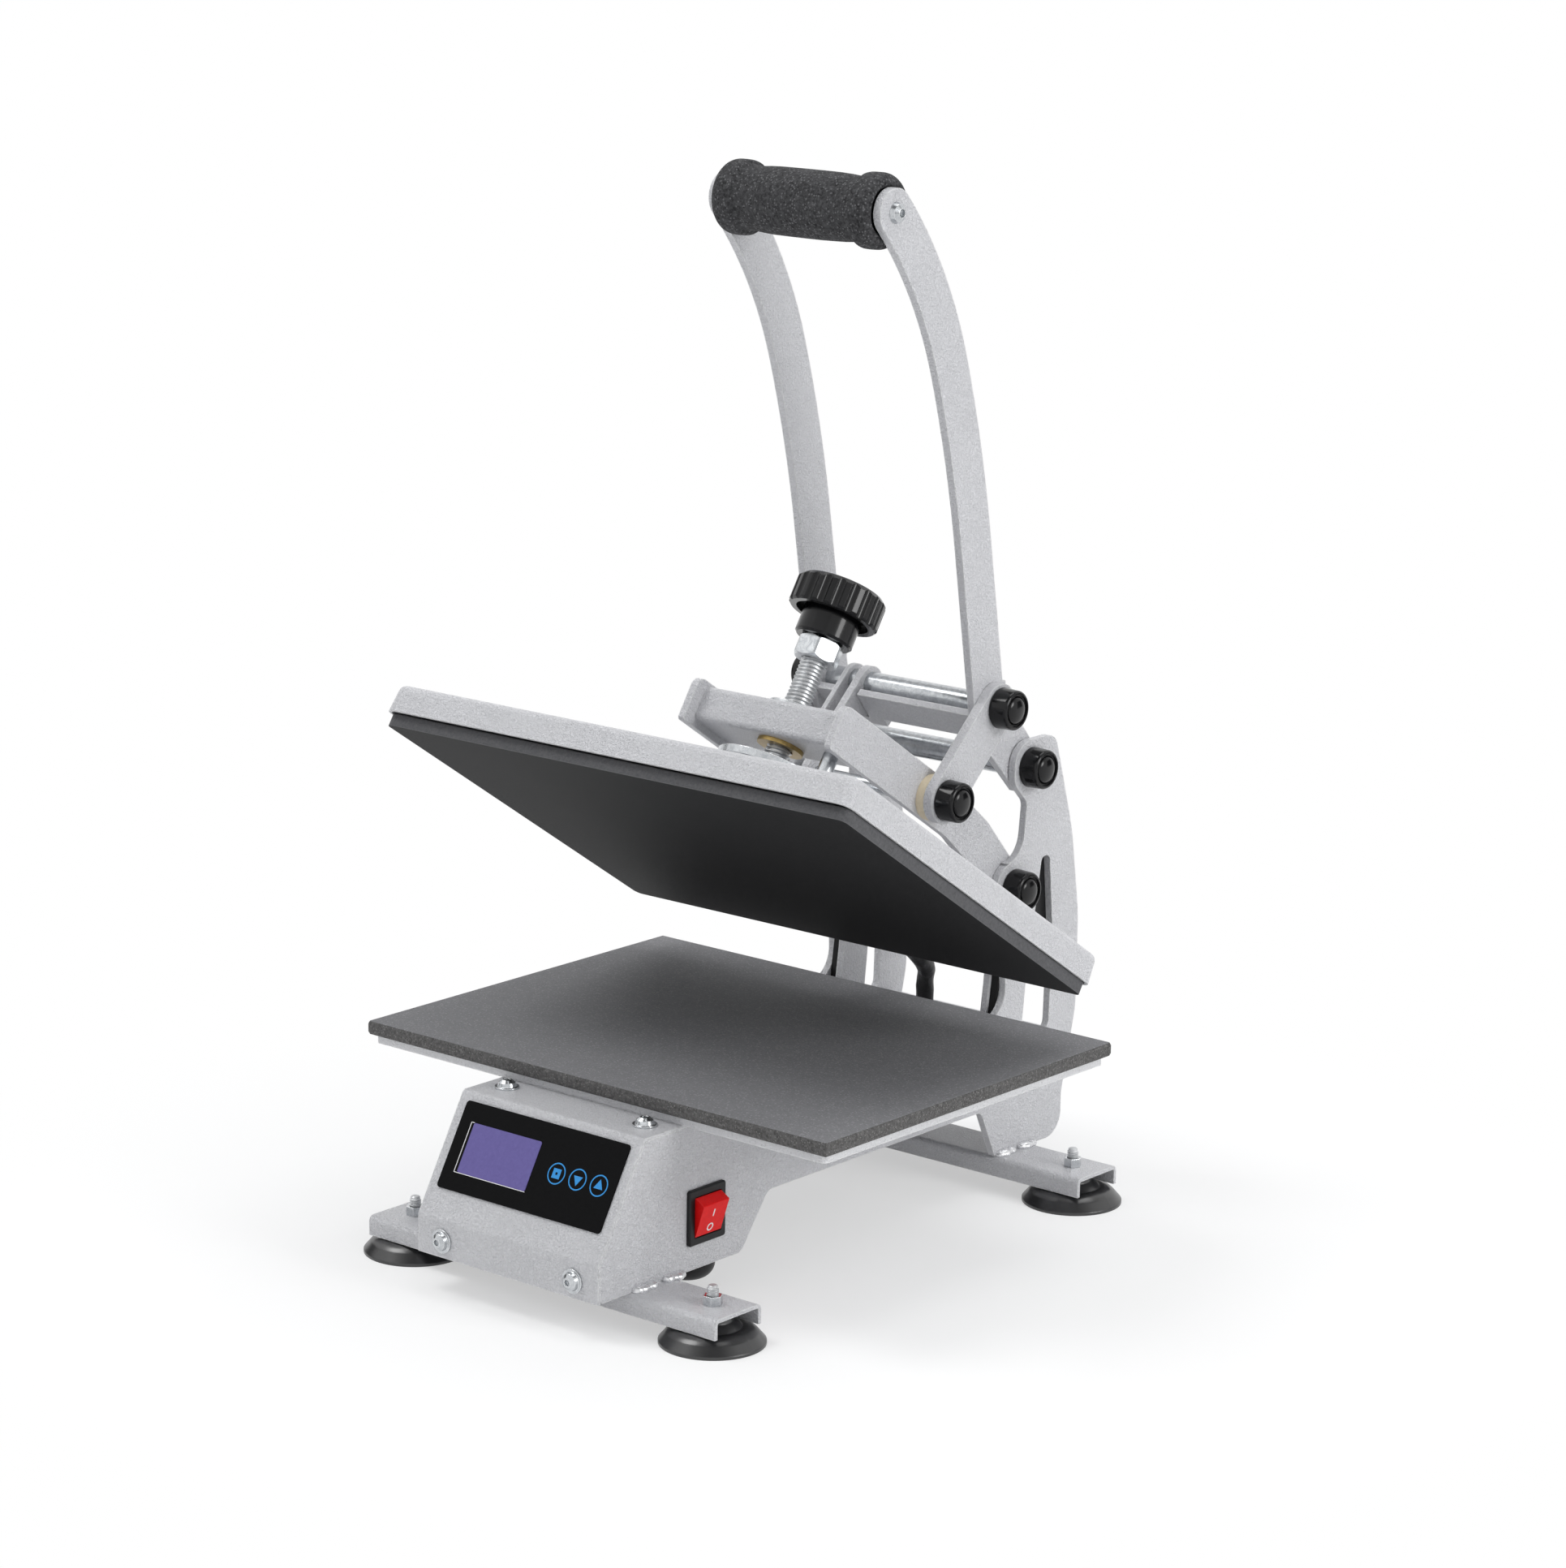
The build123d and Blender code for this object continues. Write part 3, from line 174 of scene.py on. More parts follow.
# The edge mask is used to paint a highlight along the rounded edges
def makeEdgeGroup(shape):      # rounded edge normal, and a mask of where the edge is
    group, enter, leave = newGroup(
        "softEdge",
        [("Radius", "NodeSocketFloat", 0.0006)],
        [("Normal", "NodeSocketVector"), ("Edge", "NodeSocketFloat")],
    )
    rounder = group.nodes.new("ShaderNodeBevel")
    rounder.samples = shape["samples"]
    group.links.new(enter.outputs["Radius"], rounder.inputs["Radius"])
    flat = group.nodes.new("ShaderNodeNewGeometry").outputs["Normal"]
    along = group.nodes.new("ShaderNodeVectorMath")
    along.operation = "DOT_PRODUCT"
    group.links.new(rounder.outputs["Normal"], along.inputs[0])
    group.links.new(flat, along.inputs[1])
    away = mathNode(group, "SUBTRACT", 1.0, along.outputs["Value"])
    edge = mathNode(group, "MULTIPLY", away, shape["gain"], clamp=True)
    group.links.new(rounder.outputs["Normal"], leave.inputs["Normal"])
    group.links.new(edge, leave.inputs["Edge"])
    return group


speckShape = {"reach": 0.42, "steepness": 6.0}


def makeSpeckGroup(shape):      # sparse pale specks, as in the foam and the pad
    group, enter, leave = newGroup(
        "paleSpecks",
        [("Speck Size", "NodeSocketFloat", 1200.0), ("Share", "NodeSocketFloat", 0.35)],
        [("Specks", "NodeSocketFloat")],
    )
    place = group.nodes.new("ShaderNodeTexCoord").outputs["Object"]
    cells = group.nodes.new("ShaderNodeTexVoronoi")
    cells.feature = "F1"
    group.links.new(place, cells.inputs["Vector"])
    group.links.new(enter.outputs["Speck Size"], cells.inputs["Scale"])
    split = group.nodes.new("ShaderNodeSeparateColor")
    group.links.new(cells.outputs["Color"], split.inputs["Color"])
    chosen = mathNode(group, "LESS_THAN", split.outputs["Red"], enter.outputs["Share"])
    near = mathNode(group, "SUBTRACT", shape["reach"], cells.outputs["Distance"])
    blob = mathNode(group, "MULTIPLY", near, shape["steepness"], clamp=True)
    group.links.new(mathNode(group, "MULTIPLY", chosen, blob), leave.inputs["Specks"])
    return group


grainGroup = makeGrainGroup(grainShape)
edgeGroup = makeEdgeGroup(edgeShape)
speckGroup = makeSpeckGroup(speckShape)


def useGroup(tree, group, **values):
    node = tree.nodes.new("ShaderNodeGroup")
    node.node_tree = group
    for label, value in values.items():
        node.inputs[label.replace("_", " ")].default_value = value
    return node


rampEnds = (0.32, 0.68)      # noise at or below the first is dark, at or above the second light


def colourRamp(tree, value, dark, light):
    ramp = tree.nodes.new("ShaderNodeValToRGB")
    tree.links.new(value, ramp.inputs["Fac"])
    for element, position, colour in zip(ramp.color_ramp.elements, rampEnds, (dark, light)):
        element.position = position
        element.color = (*colour, 1)
    return ramp.outputs["Color"]


def mixColour(tree, share, first, second):
    mixer = tree.nodes.new("ShaderNodeMix")
    mixer.data_type = "RGBA"
    sockets = [s for s in mixer.inputs if s.type == "RGBA"]
    tree.links.new(share, mixer.inputs["Factor"])
    for socket, value in zip(sockets, (first, second)):
        if isinstance(value, tuple):
            socket.default_value = (*value, 1)
        else:
            tree.links.new(value, socket)
    return [s for s in mixer.outputs if s.type == "RGBA"][0]


def startMaterial(name, look):
    material = bpy.data.materials.new(name)
    material.use_nodes = True
    shader = material.node_tree.nodes["Principled BSDF"]
    for socket in ("Roughness", "Metallic", "Specular IOR Level", "Coat Weight", "Coat Roughness"):
        if socket in look:
            shader.inputs[socket].default_value = look[socket]
    material.diffuse_color = (*look["light"], 1)
    return material, material.node_tree, shader


def grainMaterial(name, look):
    material, tree, shader = startMaterial(name, look)
    grain = useGroup(tree, grainGroup, Cell_Size=look["cell"], Wave_Size=look["wave"])
    colour = colourRamp(tree, grain.outputs["Shade"], look["dark"], look["light"])
    if "speck" in look:
        specks = useGroup(tree, speckGroup, Speck_Size=look["speckSize"], Share=look["speckShare"])
        colour = mixColour(tree, specks.outputs["Specks"], colour, look["speck"])
    if "rim" in look:      # the sides, all that doesn't face along faceAlong
        turned = tree.nodes.new("ShaderNodeVectorMath")
        turned.operation = "DOT_PRODUCT"
        tree.links.new(tree.nodes.new("ShaderNodeTexCoord").outputs["Normal"], turned.inputs[0])
        turned.inputs[1].default_value = look["faceAlong"]
        sides = mathNode(tree, "LESS_THAN", turned.outputs["Value"], 0.5)
        rim = colourRamp(tree, grain.outputs["Shade"], look["rimDark"], look["rim"])
        colour = mixColour(tree, sides, colour, rim)
    bump = tree.nodes.new("ShaderNodeBump")
    bump.inputs["Strength"].default_value = look["bump"]
    bump.inputs["Distance"].default_value = look["bumpDepth"]
    tree.links.new(grain.outputs["Height"], bump.inputs["Height"])
    if "edge" in look:
        edge = useGroup(tree, edgeGroup, Radius=look["edge"])
        tree.links.new(edge.outputs["Normal"], bump.inputs["Normal"])
        # painted highlight: along the edges the base colour is mixed towards a lighter edge colour
        if "edgeHighlightColour" in look:
            colour = mixColour(tree, edge.outputs["Edge"], colour, look["edgeHighlightColour"])
    tree.links.new(bump.outputs["Normal"], shader.inputs["Normal"])
    tree.links.new(colour, shader.inputs["Base Color"])
    spread = look["roughSpread"]
    rough = mathNode(tree, "MULTIPLY_ADD", grain.outputs["Height"], spread, look["Roughness"] - spread / 2)
    tree.links.new(rough, shader.inputs["Roughness"])
    return material


# Finishes of slots and modelled pieces. Cell and wave are the two noises' scales, edge a radius in metres;
# the edge colour is a painted highlight along the edges
finishes = {
    "silver_coat": {
        "light": (0.775, 0.775, 0.8), "dark": (0.63, 0.63, 0.655), "Roughness": 0.4, "Metallic": 0.05,
        "roughSpread": 0.2, "cell": 880.0, "wave": 45.0, "bump": 1.0, "bumpDepth": 0.0016,
        "Coat Weight": 0.25, "Coat Roughness": 0.2, "edge": 0.0012, "edgeHighlightColour": (0.96, 0.965, 0.97),
    },
    "platen_silver": {
        "light": (0.785, 0.785, 0.805), "dark": (0.655, 0.655, 0.675), "Roughness": 0.3,
        "Metallic": 0.15, "roughSpread": 0.16, "cell": 880.0, "wave": 40.0, "bump": 0.8,
        "bumpDepth": 0.0014, "Coat Weight": 0.4, "Coat Roughness": 0.15, "edge": 0.0013,
        "edgeHighlightColour": (0.97, 0.975, 0.98),
    },
    "steel_zinc": {
        "light": (0.66, 0.68, 0.7), "dark": (0.44, 0.46, 0.48), "Roughness": 0.24, "Metallic": 1.0,
        "roughSpread": 0.12, "cell": 300.0, "wave": 60.0, "bump": 0.05, "bumpDepth": 0.0002,
        "edge": 0.0005, "edgeHighlightColour": (0.86, 0.87, 0.88),
    },
    "threadSteel": {
        "light": (0.74, 0.75, 0.76), "dark": (0.5, 0.51, 0.52), "Roughness": 0.34, "Metallic": 1.0,
        "roughSpread": 0.1, "cell": 400.0, "wave": 90.0, "bump": 0.03, "bumpDepth": 0.0001,
    },
    "studSteel": {
        "light": (0.74, 0.75, 0.76), "dark": (0.54, 0.55, 0.56), "Roughness": 0.52, "Metallic": 0.9,
        "roughSpread": 0.08, "cell": 400.0, "wave": 90.0, "bump": 0.03, "bumpDepth": 0.0001,
    },
    "chrome_stud": {
        "light": (0.82, 0.83, 0.84), "dark": (0.68, 0.69, 0.7), "Roughness": 0.45, "Metallic": 0.3,
        "roughSpread": 0.06, "cell": 500.0, "wave": 90.0, "bump": 0.04, "bumpDepth": 0.0002,
        "edge": 0.0004, "edgeHighlightColour": (0.88, 0.885, 0.89),
    },
    "black_gloss": {
        "light": (0.005, 0.005, 0.006), "dark": (0.0035, 0.0035, 0.004), "Roughness": 0.18,
        "Metallic": 0.0, "Specular IOR Level": 0.2, "roughSpread": 0.04, "cell": 400.0, "wave": 60.0,
        "bump": 0.02, "bumpDepth": 0.0002, "Coat Weight": 0.25, "Coat Roughness": 0.05, "edge": 0.0007,
    },
    "black_matte": {
        "light": (0.012, 0.012, 0.013), "dark": (0.006, 0.006, 0.007), "Roughness": 0.4, "Metallic": 0.0,
        "Specular IOR Level": 0.3, "roughSpread": 0.1, "cell": 900.0, "wave": 60.0, "bump": 0.1,
        "bumpDepth": 0.0002, "edge": 0.0006,
    },
    "black_rubber": {
        "light": (0.006, 0.006, 0.007), "dark": (0.004, 0.004, 0.005), "Roughness": 0.3, "Metallic": 0.0,
        "Specular IOR Level": 1.0, "roughSpread": 0.03, "cell": 300.0, "wave": 40.0, "bump": 0.01,
        "bumpDepth": 0.0002, "edge": 0.0008,
    },
    "foam": {
        "light": (0.085, 0.085, 0.089), "dark": (0.01, 0.01, 0.011), "Roughness": 0.85, "Metallic": 0.0,
        "Specular IOR Level": 0.25, "roughSpread": 0.1, "cell": 620.0, "wave": 110.0, "bump": 0.9,
        "bumpDepth": 0.0009, "speck": (0.13, 0.13, 0.135), "speckSize": 700.0, "speckShare": 0.5,
    },
    "pad_silicone": {
        "light": (0.24, 0.24, 0.25), "dark": (0.17, 0.17, 0.178), "Roughness": 0.7, "Metallic": 0.0,
        "Specular IOR Level": 0.3, "roughSpread": 0.1, "cell": 900.0, "wave": 120.0, "bump": 0.5,
        "bumpDepth": 0.0005, "speck": (0.31, 0.31, 0.32), "speckSize": 800.0, "speckShare": 0.35,
    },
    "padEdge": {
        "light": (0.15, 0.147, 0.146), "dark": (0.06, 0.058, 0.057), "Roughness": 0.8, "Metallic": 0.0,
        "Specular IOR Level": 0.25, "roughSpread": 0.1, "cell": 800.0, "wave": 200.0, "bump": 0.8,
        "bumpDepth": 0.0007, "speck": (0.21, 0.205, 0.2), "speckSize": 1000.0, "speckShare": 0.35,
    },
    # The heating plate's sides are bare cast metal: the coating is only on the face that presses
    "coated_face": {
        "light": (0.03, 0.03, 0.031), "dark": (0.019, 0.019, 0.02), "Roughness": 0.62, "Metallic": 0.0,
        "Specular IOR Level": 0.1, "roughSpread": 0.14, "cell": 620.0, "wave": 16.0, "bump": 0.3,
        "bumpDepth": 0.0004, "edge": 0.0008, "edgeHighlightColour": (0.16, 0.16, 0.165),
        "rim": (0.125, 0.125, 0.13), "rimDark": (0.085, 0.085, 0.09), "faceAlong": (0.0, -0.545, -0.839),
    },
    "nylon": {
        "light": (0.8, 0.7, 0.52), "dark": (0.72, 0.62, 0.44), "Roughness": 0.4, "Metallic": 0.0,
        "roughSpread": 0.08, "cell": 400.0, "wave": 60.0, "bump": 0.05, "bumpDepth": 0.0002,
        "edge": 0.0004,
    },
    "brass": {
        "light": (0.46, 0.33, 0.13), "dark": (0.3, 0.21, 0.08), "Roughness": 0.34, "Metallic": 1.0,
        "roughSpread": 0.1, "cell": 400.0, "wave": 60.0, "bump": 0.05, "bumpDepth": 0.0002,
        "edge": 0.0004,
    },
    "panel_gloss": {
        "light": (0.005, 0.005, 0.0055), "dark": (0.0032, 0.0032, 0.0036), "Roughness": 0.34,
        "Metallic": 0.0, "Specular IOR Level": 0.06, "roughSpread": 0.05, "cell": 700.0, "wave": 60.0,
        "bump": 0.03, "bumpDepth": 0.0002, "edge": 0.0003,
    },
    "lcd": {
        "light": (0.15, 0.127, 0.355), "dark": (0.13, 0.108, 0.31), "Roughness": 0.3, "Metallic": 0.0,
        "Specular IOR Level": 0.2, "roughSpread": 0.04, "cell": 500.0, "wave": 30.0, "bump": 0.02,
        "bumpDepth": 0.0002,
    },
    "circuit": {
        "light": (0.03, 0.16, 0.07), "dark": (0.02, 0.11, 0.05), "Roughness": 0.45, "Metallic": 0.0,
        "roughSpread": 0.1, "cell": 500.0, "wave": 60.0, "bump": 0.1, "bumpDepth": 0.0002,
    },
    "switch_red": {
        "light": (0.8, 0.009, 0.01), "dark": (0.68, 0.006, 0.007), "Roughness": 0.22, "Metallic": 0.0,
        "roughSpread": 0.05, "cell": 500.0, "wave": 60.0, "bump": 0.03, "bumpDepth": 0.0002,
        "Specular IOR Level": 0.12, "edge": 0.0004, "edgeHighlightColour": (0.8, 0.03, 0.03),
    },
    "insulation": {
        "light": (0.62, 0.58, 0.5), "dark": (0.5, 0.47, 0.4), "Roughness": 0.9, "Metallic": 0.0,
        "roughSpread": 0.1, "cell": 700.0, "wave": 60.0, "bump": 0.5, "bumpDepth": 0.0006,
    },
    "cable_sleeve": {
        "light": (0.012, 0.012, 0.013), "dark": (0.004, 0.004, 0.005), "Roughness": 0.38,
        "Metallic": 0.0, "Specular IOR Level": 0.4, "roughSpread": 0.14, "cell": 500.0, "wave": 120.0,
        "bump": 0.4, "bumpDepth": 0.0006,
    },
    "weldSteel": {
        "light": (0.86, 0.865, 0.88), "dark": (0.62, 0.625, 0.64), "Roughness": 0.25, "Metallic": 0.7,
        "roughSpread": 0.2, "cell": 500.0, "wave": 200.0, "bump": 0.4, "bumpDepth": 0.0008,
    },
    "keyPrint": {
        "light": (0.022, 0.3, 0.72), "dark": (0.017, 0.25, 0.64), "Roughness": 0.4, "Metallic": 0.0,
        "roughSpread": 0.05, "cell": 900.0, "wave": 90.0, "bump": 0.02, "bumpDepth": 0.0001,
    },
    "palePrint": {
        "light": (0.88, 0.87, 0.88), "dark": (0.8, 0.79, 0.8), "Roughness": 0.4, "Metallic": 0.0,
        "roughSpread": 0.05, "cell": 900.0, "wave": 90.0, "bump": 0.02, "bumpDepth": 0.0001,
    },
}

materials = {name: grainMaterial(name, look) for name, look in finishes.items()}

for nodeName, piece in nodes.items():
    finish = materials[slotOf[nodeName]]
    if piece.data.materials:
        for index in range(len(piece.data.materials)):
            piece.data.materials[index] = finish
    else:
        piece.data.materials.append(finish)
print("finishes given to the frame's nodes")


# Tools for the modelled pieces
def freshStart():
    if bpy.context.object and bpy.context.object.mode != "OBJECT":
        bpy.ops.object.mode_set(mode="OBJECT")
    bpy.ops.object.select_all(action="DESELECT")


def editAll():
    bpy.ops.object.mode_set(mode="EDIT")
    bpy.ops.mesh.select_all(action="SELECT")


def editChosen(piece, kind, test):      # edit mode with only the chosen points, edges or faces selected
    bpy.ops.object.mode_set(mode="EDIT")
    bpy.ops.mesh.select_mode(type=kind)
    bpy.ops.mesh.select_all(action="DESELECT")
    bpy.ops.object.mode_set(mode="OBJECT")
    mesh = piece.data
    if kind == "VERT":
        for vertex in mesh.vertices:
            vertex.select = test(vertex.co)
    elif kind == "EDGE":
        for edge in mesh.edges:
            edge.select = test(*(mesh.vertices[i].co for i in edge.vertices))
    else:
        for face in mesh.polygons:
            face.select = test(face.center, face.normal)
    bpy.ops.object.mode_set(mode="EDIT")


def objectMode():
    bpy.ops.object.mode_set(mode="OBJECT")


def addModifier(piece, kind, **settings):
    freshStart()
    piece.select_set(True)
    bpy.context.view_layer.objects.active = piece
    modifier = piece.modifiers.new(kind.lower(), kind)
    for key, value in settings.items():
        setattr(modifier, key, value)
    bpy.ops.object.modifier_apply(modifier=modifier.name)


def joinPieces(pieces):
    freshStart()
    for piece in pieces:
        piece.select_set(True)
    bpy.context.view_layer.objects.active = pieces[0]
    if len(pieces) > 1:
        bpy.ops.object.join()
    return bpy.context.view_layer.objects.active


def copyPiece(piece, move):
    twin = piece.copy()
    twin.data = piece.data.copy()
    bpy.context.collection.objects.link(twin)
    twin.matrix_world = move @ piece.matrix_world
    return twin


def applyPlace(piece):
    freshStart()
    piece.select_set(True)
    bpy.context.view_layer.objects.active = piece
    bpy.ops.object.transform_apply(location=True, rotation=True, scale=True)


def finishPiece(piece, name, finish, body, stands=(), smooth=35, outward=True):
    applyPlace(piece)
    if outward:
        editAll()
        bpy.ops.mesh.normals_make_consistent(inside=False)
        objectMode()
    bpy.ops.object.shade_smooth_by_angle(angle=math.radians(smooth))
    piece.name = name
    piece.data.name = name
    if finish:
        piece.data.materials.clear()
        piece.data.materials.append(materials[finish])
    if body:
        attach(piece, body)
    if stands:
        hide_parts(*stands)
    return piece


def turnRings(rings, sides, closed=True):      # rings are radius and height, each drawn out of the last
    freshStart()
    lastRadius, lastHeight = rings[0]
    bpy.ops.mesh.primitive_circle_add(vertices=sides, radius=lastRadius, location=(0, 0, 0))
    piece = bpy.context.object
    editAll()
    bpy.ops.transform.translate(value=(0, 0, lastHeight))
    if closed:
        bpy.ops.mesh.edge_face_add()
    for radius, height in rings[1:]:
        bpy.ops.mesh.extrude_region_move(TRANSFORM_OT_translate={"value": (0, 0, height - lastHeight)})
        share = radius / lastRadius
        bpy.ops.transform.resize(value=(share, share, 1), center_override=(0, 0, height))
        lastRadius, lastHeight = radius, height
    objectMode()
    return piece


threadShape = {"footShare": 0.92, "crestShare": 0.16}      # of the pitch, and of the foot


def threadRidge(look, shape):      # one ridge that climbs a turn at a time, its foot sunk in the core
    freshStart()
    bpy.ops.mesh.primitive_plane_add(size=1.0, location=(0, 0, 0))
    ridge = bpy.context.object
    editAll()
    bpy.ops.transform.rotate(value=math.pi / 2, orient_axis="X", center_override=(0, 0, 0))
    depth = look["crest"] - look["root"] + look["sunk"]
    foot = look["pitch"] * shape["footShare"]
    bpy.ops.transform.resize(value=(depth, 1, foot), center_override=(0, 0, 0))
    objectMode()
    editChosen(ridge, "VERT", lambda co: co.x > 0)
    bpy.ops.transform.resize(value=(1, 1, shape["crestShare"]), center_override=(0, 0, 0))
    bpy.ops.mesh.select_all(action="SELECT")
    bpy.ops.transform.translate(value=(look["crest"] - depth / 2, 0, look["bottom"]))
    objectMode()
    turns = int((look["top"] - look["bottom"]) / look["pitch"])
    addModifier(ridge, "SCREW", axis="Z", angle=2 * math.pi, screw_offset=look["pitch"], iterations=turns,
                steps=look["steps"], render_steps=look["steps"], use_smooth_shade=False)
    editAll()
    bpy.ops.mesh.fill_holes(sides=4)
    bpy.ops.mesh.normals_make_consistent(inside=False)
    objectMode()
    return ridge


def threadedRod(look):
    root, bottom, top = look["root"], look["bottom"], look["top"]
    taper = look["crest"] - root
    rings = [(root - taper, bottom - taper), (root, bottom), (root, top), (root - taper, top + taper)]
    core = turnRings(rings, look["steps"])
    return joinPieces([threadRidge(look, threadShape), core])


# Threaded spindle with its thrust nut
spindleLook = {
    "root": 5.5 * mm, "crest": 6.95 * mm, "sunk": 0.3 * mm, "pitch": 2.0 * mm, "bottom": 142.5 * mm,
    "top": 244.0 * mm, "steps": 28, "y": 2.5, "nutLow": 159.1 * mm, "nutHigh": 163.0 * mm,
    "nutFlats": 22.0 * mm, "nutBevel": 0.5 * mm,
}


def makeSpindle(look):
    rod = threadedRod(look)
    freshStart()
    corner = look["nutFlats"] / math.sqrt(3)
    height = look["nutHigh"] - look["nutLow"]
    bpy.ops.mesh.primitive_cylinder_add(vertices=6, radius=corner, depth=height,
                                        location=(0, 0, (look["nutLow"] + look["nutHigh"]) / 2))
    nut = bpy.context.object
    editAll()
    bpy.ops.mesh.bevel(offset=look["nutBevel"], segments=2, affect="EDGES")
    objectMode()
    spindle = joinPieces([rod, nut])
    spindle.matrix_world = openTurn @ shift(0, look["y"], 0)
    finishPiece(spindle, "threaded_spindle", "threadSteel", "spindle", ["pressure_spindle"],
                smooth=30, outward=False)


makeSpindle(spindleLook)
print("spindle cut")


# Studs of the suction feet, threaded above their nuts
studLook = {
    "root": 2.45 * mm, "crest": 2.98 * mm, "sunk": 0.15 * mm, "pitch": 1.0 * mm, "bottom": 9.5 * mm,
    "top": 28.4 * mm, "steps": 16, "x": 99.5, "frontY": -133.5, "rearY": 156.0,
}


def makeStuds(look):
    stud = threadedRod(look)
    twins = []
    for x in (-look["x"], look["x"]):
        for y in (look["frontY"], look["rearY"]):
            twins.append(copyPiece(stud, shift(x, y, 0)))
    bpy.data.objects.remove(stud)
    for twin in twins:
        applyPlace(twin)
    finishPiece(joinPieces(twins), "threaded_studs", "studSteel", "base_frame", ["foot_studs"],
                smooth=30, outward=False)


makeStuds(studLook)
print("studs cut")


# Domed caps on the pivots, the crank and the links, each with a ringed groove
capLook = {
    "radius": 10.8, "taper": 0.4, "round": 1.8, "rim": 10.8, "bore": 4.15, "boreDepth": 5.0, "sides": 64,
    "footIn": 0.4, "footUp": 0.5, "groove": 7.5, "grooveLow": 9.3, "grooveGap": 0.1, "grooveCorner": 0.2,
    "lip": 8.3,
    "lipRound": ((0.45, 0.0), (0.12, 0.12), (0.0, 0.5)),      # out from the lip, down from the rim
    "dome": 7.2, "domeUp": 0.3, "top": 12.0,
    "sets": (      # name, node, body, seat on either side, and y and z of each place
        ("domed_pivot_caps", "pivot_caps", "base_frame", 60.0, ((151.0, 163.5), (163.2, 227.0))),
        ("domed_crank_caps", "crank_caps", "handle", 61.4, ((134.0, 263.4),)),
        ("domed_link_caps", "link_caps", "link", 61.15, ((90.27, 222.01),)),
    ),
}


def capRings(look):
    radius, rim, rounding = look["radius"], look["rim"], look["round"]
    rings = [(look["bore"], look["boreDepth"]), (look["bore"], 0), (radius - look["footIn"], 0),
             (radius, look["footUp"])]
    inner = radius - look["taper"] - rounding
    for degrees in range(0, 91, 15):
        turn = math.radians(degrees)
        rings.append((inner + rounding * math.cos(turn), rim - rounding + rounding * math.sin(turn)))
    lip, low, corner = look["lip"], look["grooveLow"], look["grooveCorner"]
    rings += [(lip + out, rim - down) for out, down in look["lipRound"]]
    dome, domeFoot = look["dome"], low + look["domeUp"]
    rings += [(lip, low + corner), (lip - corner, low), (look["groove"] + look["grooveGap"], low)]
    rings.append((dome, domeFoot))
    for degrees in range(8, 90, 9):
        turn = math.radians(degrees)
        rings.append((dome * math.cos(turn), domeFoot + (look["top"] - domeFoot) * math.sin(turn)))
    return [(radius * mm, height * mm) for radius, height in rings]


def makeCaps(look):
    cap = turnRings(capRings(look), look["sides"])
    for name, node, body, seat, places in look["sets"]:
        twins = []
        for y, z in places:
            for side in (-1, 1):
                stand = shift(side * seat, y, z) @ Matrix.Rotation(side * math.pi / 2, 4, "Y")
                twins.append(copyPiece(cap, stand))
        for twin in twins:
            applyPlace(twin)
        finishPiece(joinPieces(twins), name, "black_gloss", body, [node], smooth=30)
    bpy.data.objects.remove(cap)


makeCaps(capLook)
print("caps turned")


# Silicone pad: corners and edges rounded, and the sides drawn in a little
padLook = {
    "length": 304.8, "depth": 228.6, "low": 99.3, "high": 106.5, "corner": 1.4, "edge": 0.9,
    "edgeReach": 0.81, "edgeIn": 1.0, "edgeDown": 0.7, "cuts": 4, "middleBand": 0.5, "pull": 0.3,
    "soften": 0.3, "topNormal": 0.75,
}


def upright(a, b):      # an edge of the pad that runs from its underside up
    return abs(a.z - b.z) > 1 * mm


def makePad(look):
    freshStart()
    bpy.ops.mesh.primitive_cube_add(size=1.0, location=(0, 0, 0))
    pad = bpy.context.object
    editAll()
    thick = look["high"] - look["low"]
    size = (look["length"] * mm, look["depth"] * mm, thick * mm)
    bpy.ops.transform.resize(value=size, center_override=(0, 0, 0))
    objectMode()
    editChosen(pad, "EDGE", upright)
    bpy.ops.mesh.bevel(offset=look["corner"] * mm, segments=6, affect="EDGES")
    objectMode()
    editChosen(pad, "FACE", lambda center, normal: abs(normal.z) > 0.9)
    bpy.ops.mesh.inset(thickness=look["edge"] * mm, depth=0)
    objectMode()
    editChosen(pad, "EDGE", upright)
    bpy.ops.mesh.subdivide(number_cuts=look["cuts"])
    objectMode()
    outerX = (look["length"] / 2 - look["edgeReach"]) * mm
    outerY = (look["depth"] / 2 - look["edgeReach"]) * mm
    face = (thick / 2 - 0.01) * mm
    editChosen(pad, "VERT", lambda co: abs(co.z) > face and (abs(co.x) > outerX or abs(co.y) > outerY))
    narrow = (1 - look["edgeIn"] / look["length"], 1 - look["edgeIn"] / look["depth"])
    bpy.ops.transform.resize(value=(*narrow, 1 - look["edgeDown"] / thick), center_override=(0, 0, 0))
    objectMode()
    editChosen(pad, "VERT", lambda co: abs(co.z) < look["middleBand"] * mm)
    waist = (1 - 2 * look["pull"] / look["length"], 1 - 2 * look["pull"] / look["depth"], 1)
    bpy.ops.transform.resize(value=waist, center_override=(0, 0, 0))
    objectMode()
    addModifier(pad, "BEVEL", width=look["soften"] * mm, segments=3, limit_method="ANGLE",
                angle_limit=math.radians(20))
    pad.data.materials.append(materials["pad_silicone"])
    pad.data.materials.append(materials["padEdge"])
    for face in pad.data.polygons:
        face.material_index = 0 if face.normal.z > look["topNormal"] else 1
    pad.matrix_world = shift(0, 0, (look["low"] + look["high"]) / 2)
    finishPiece(pad, "press_pad", None, "base_frame", ["silicone_pad"], smooth=60)


makePad(padLook)
print("pad laid")


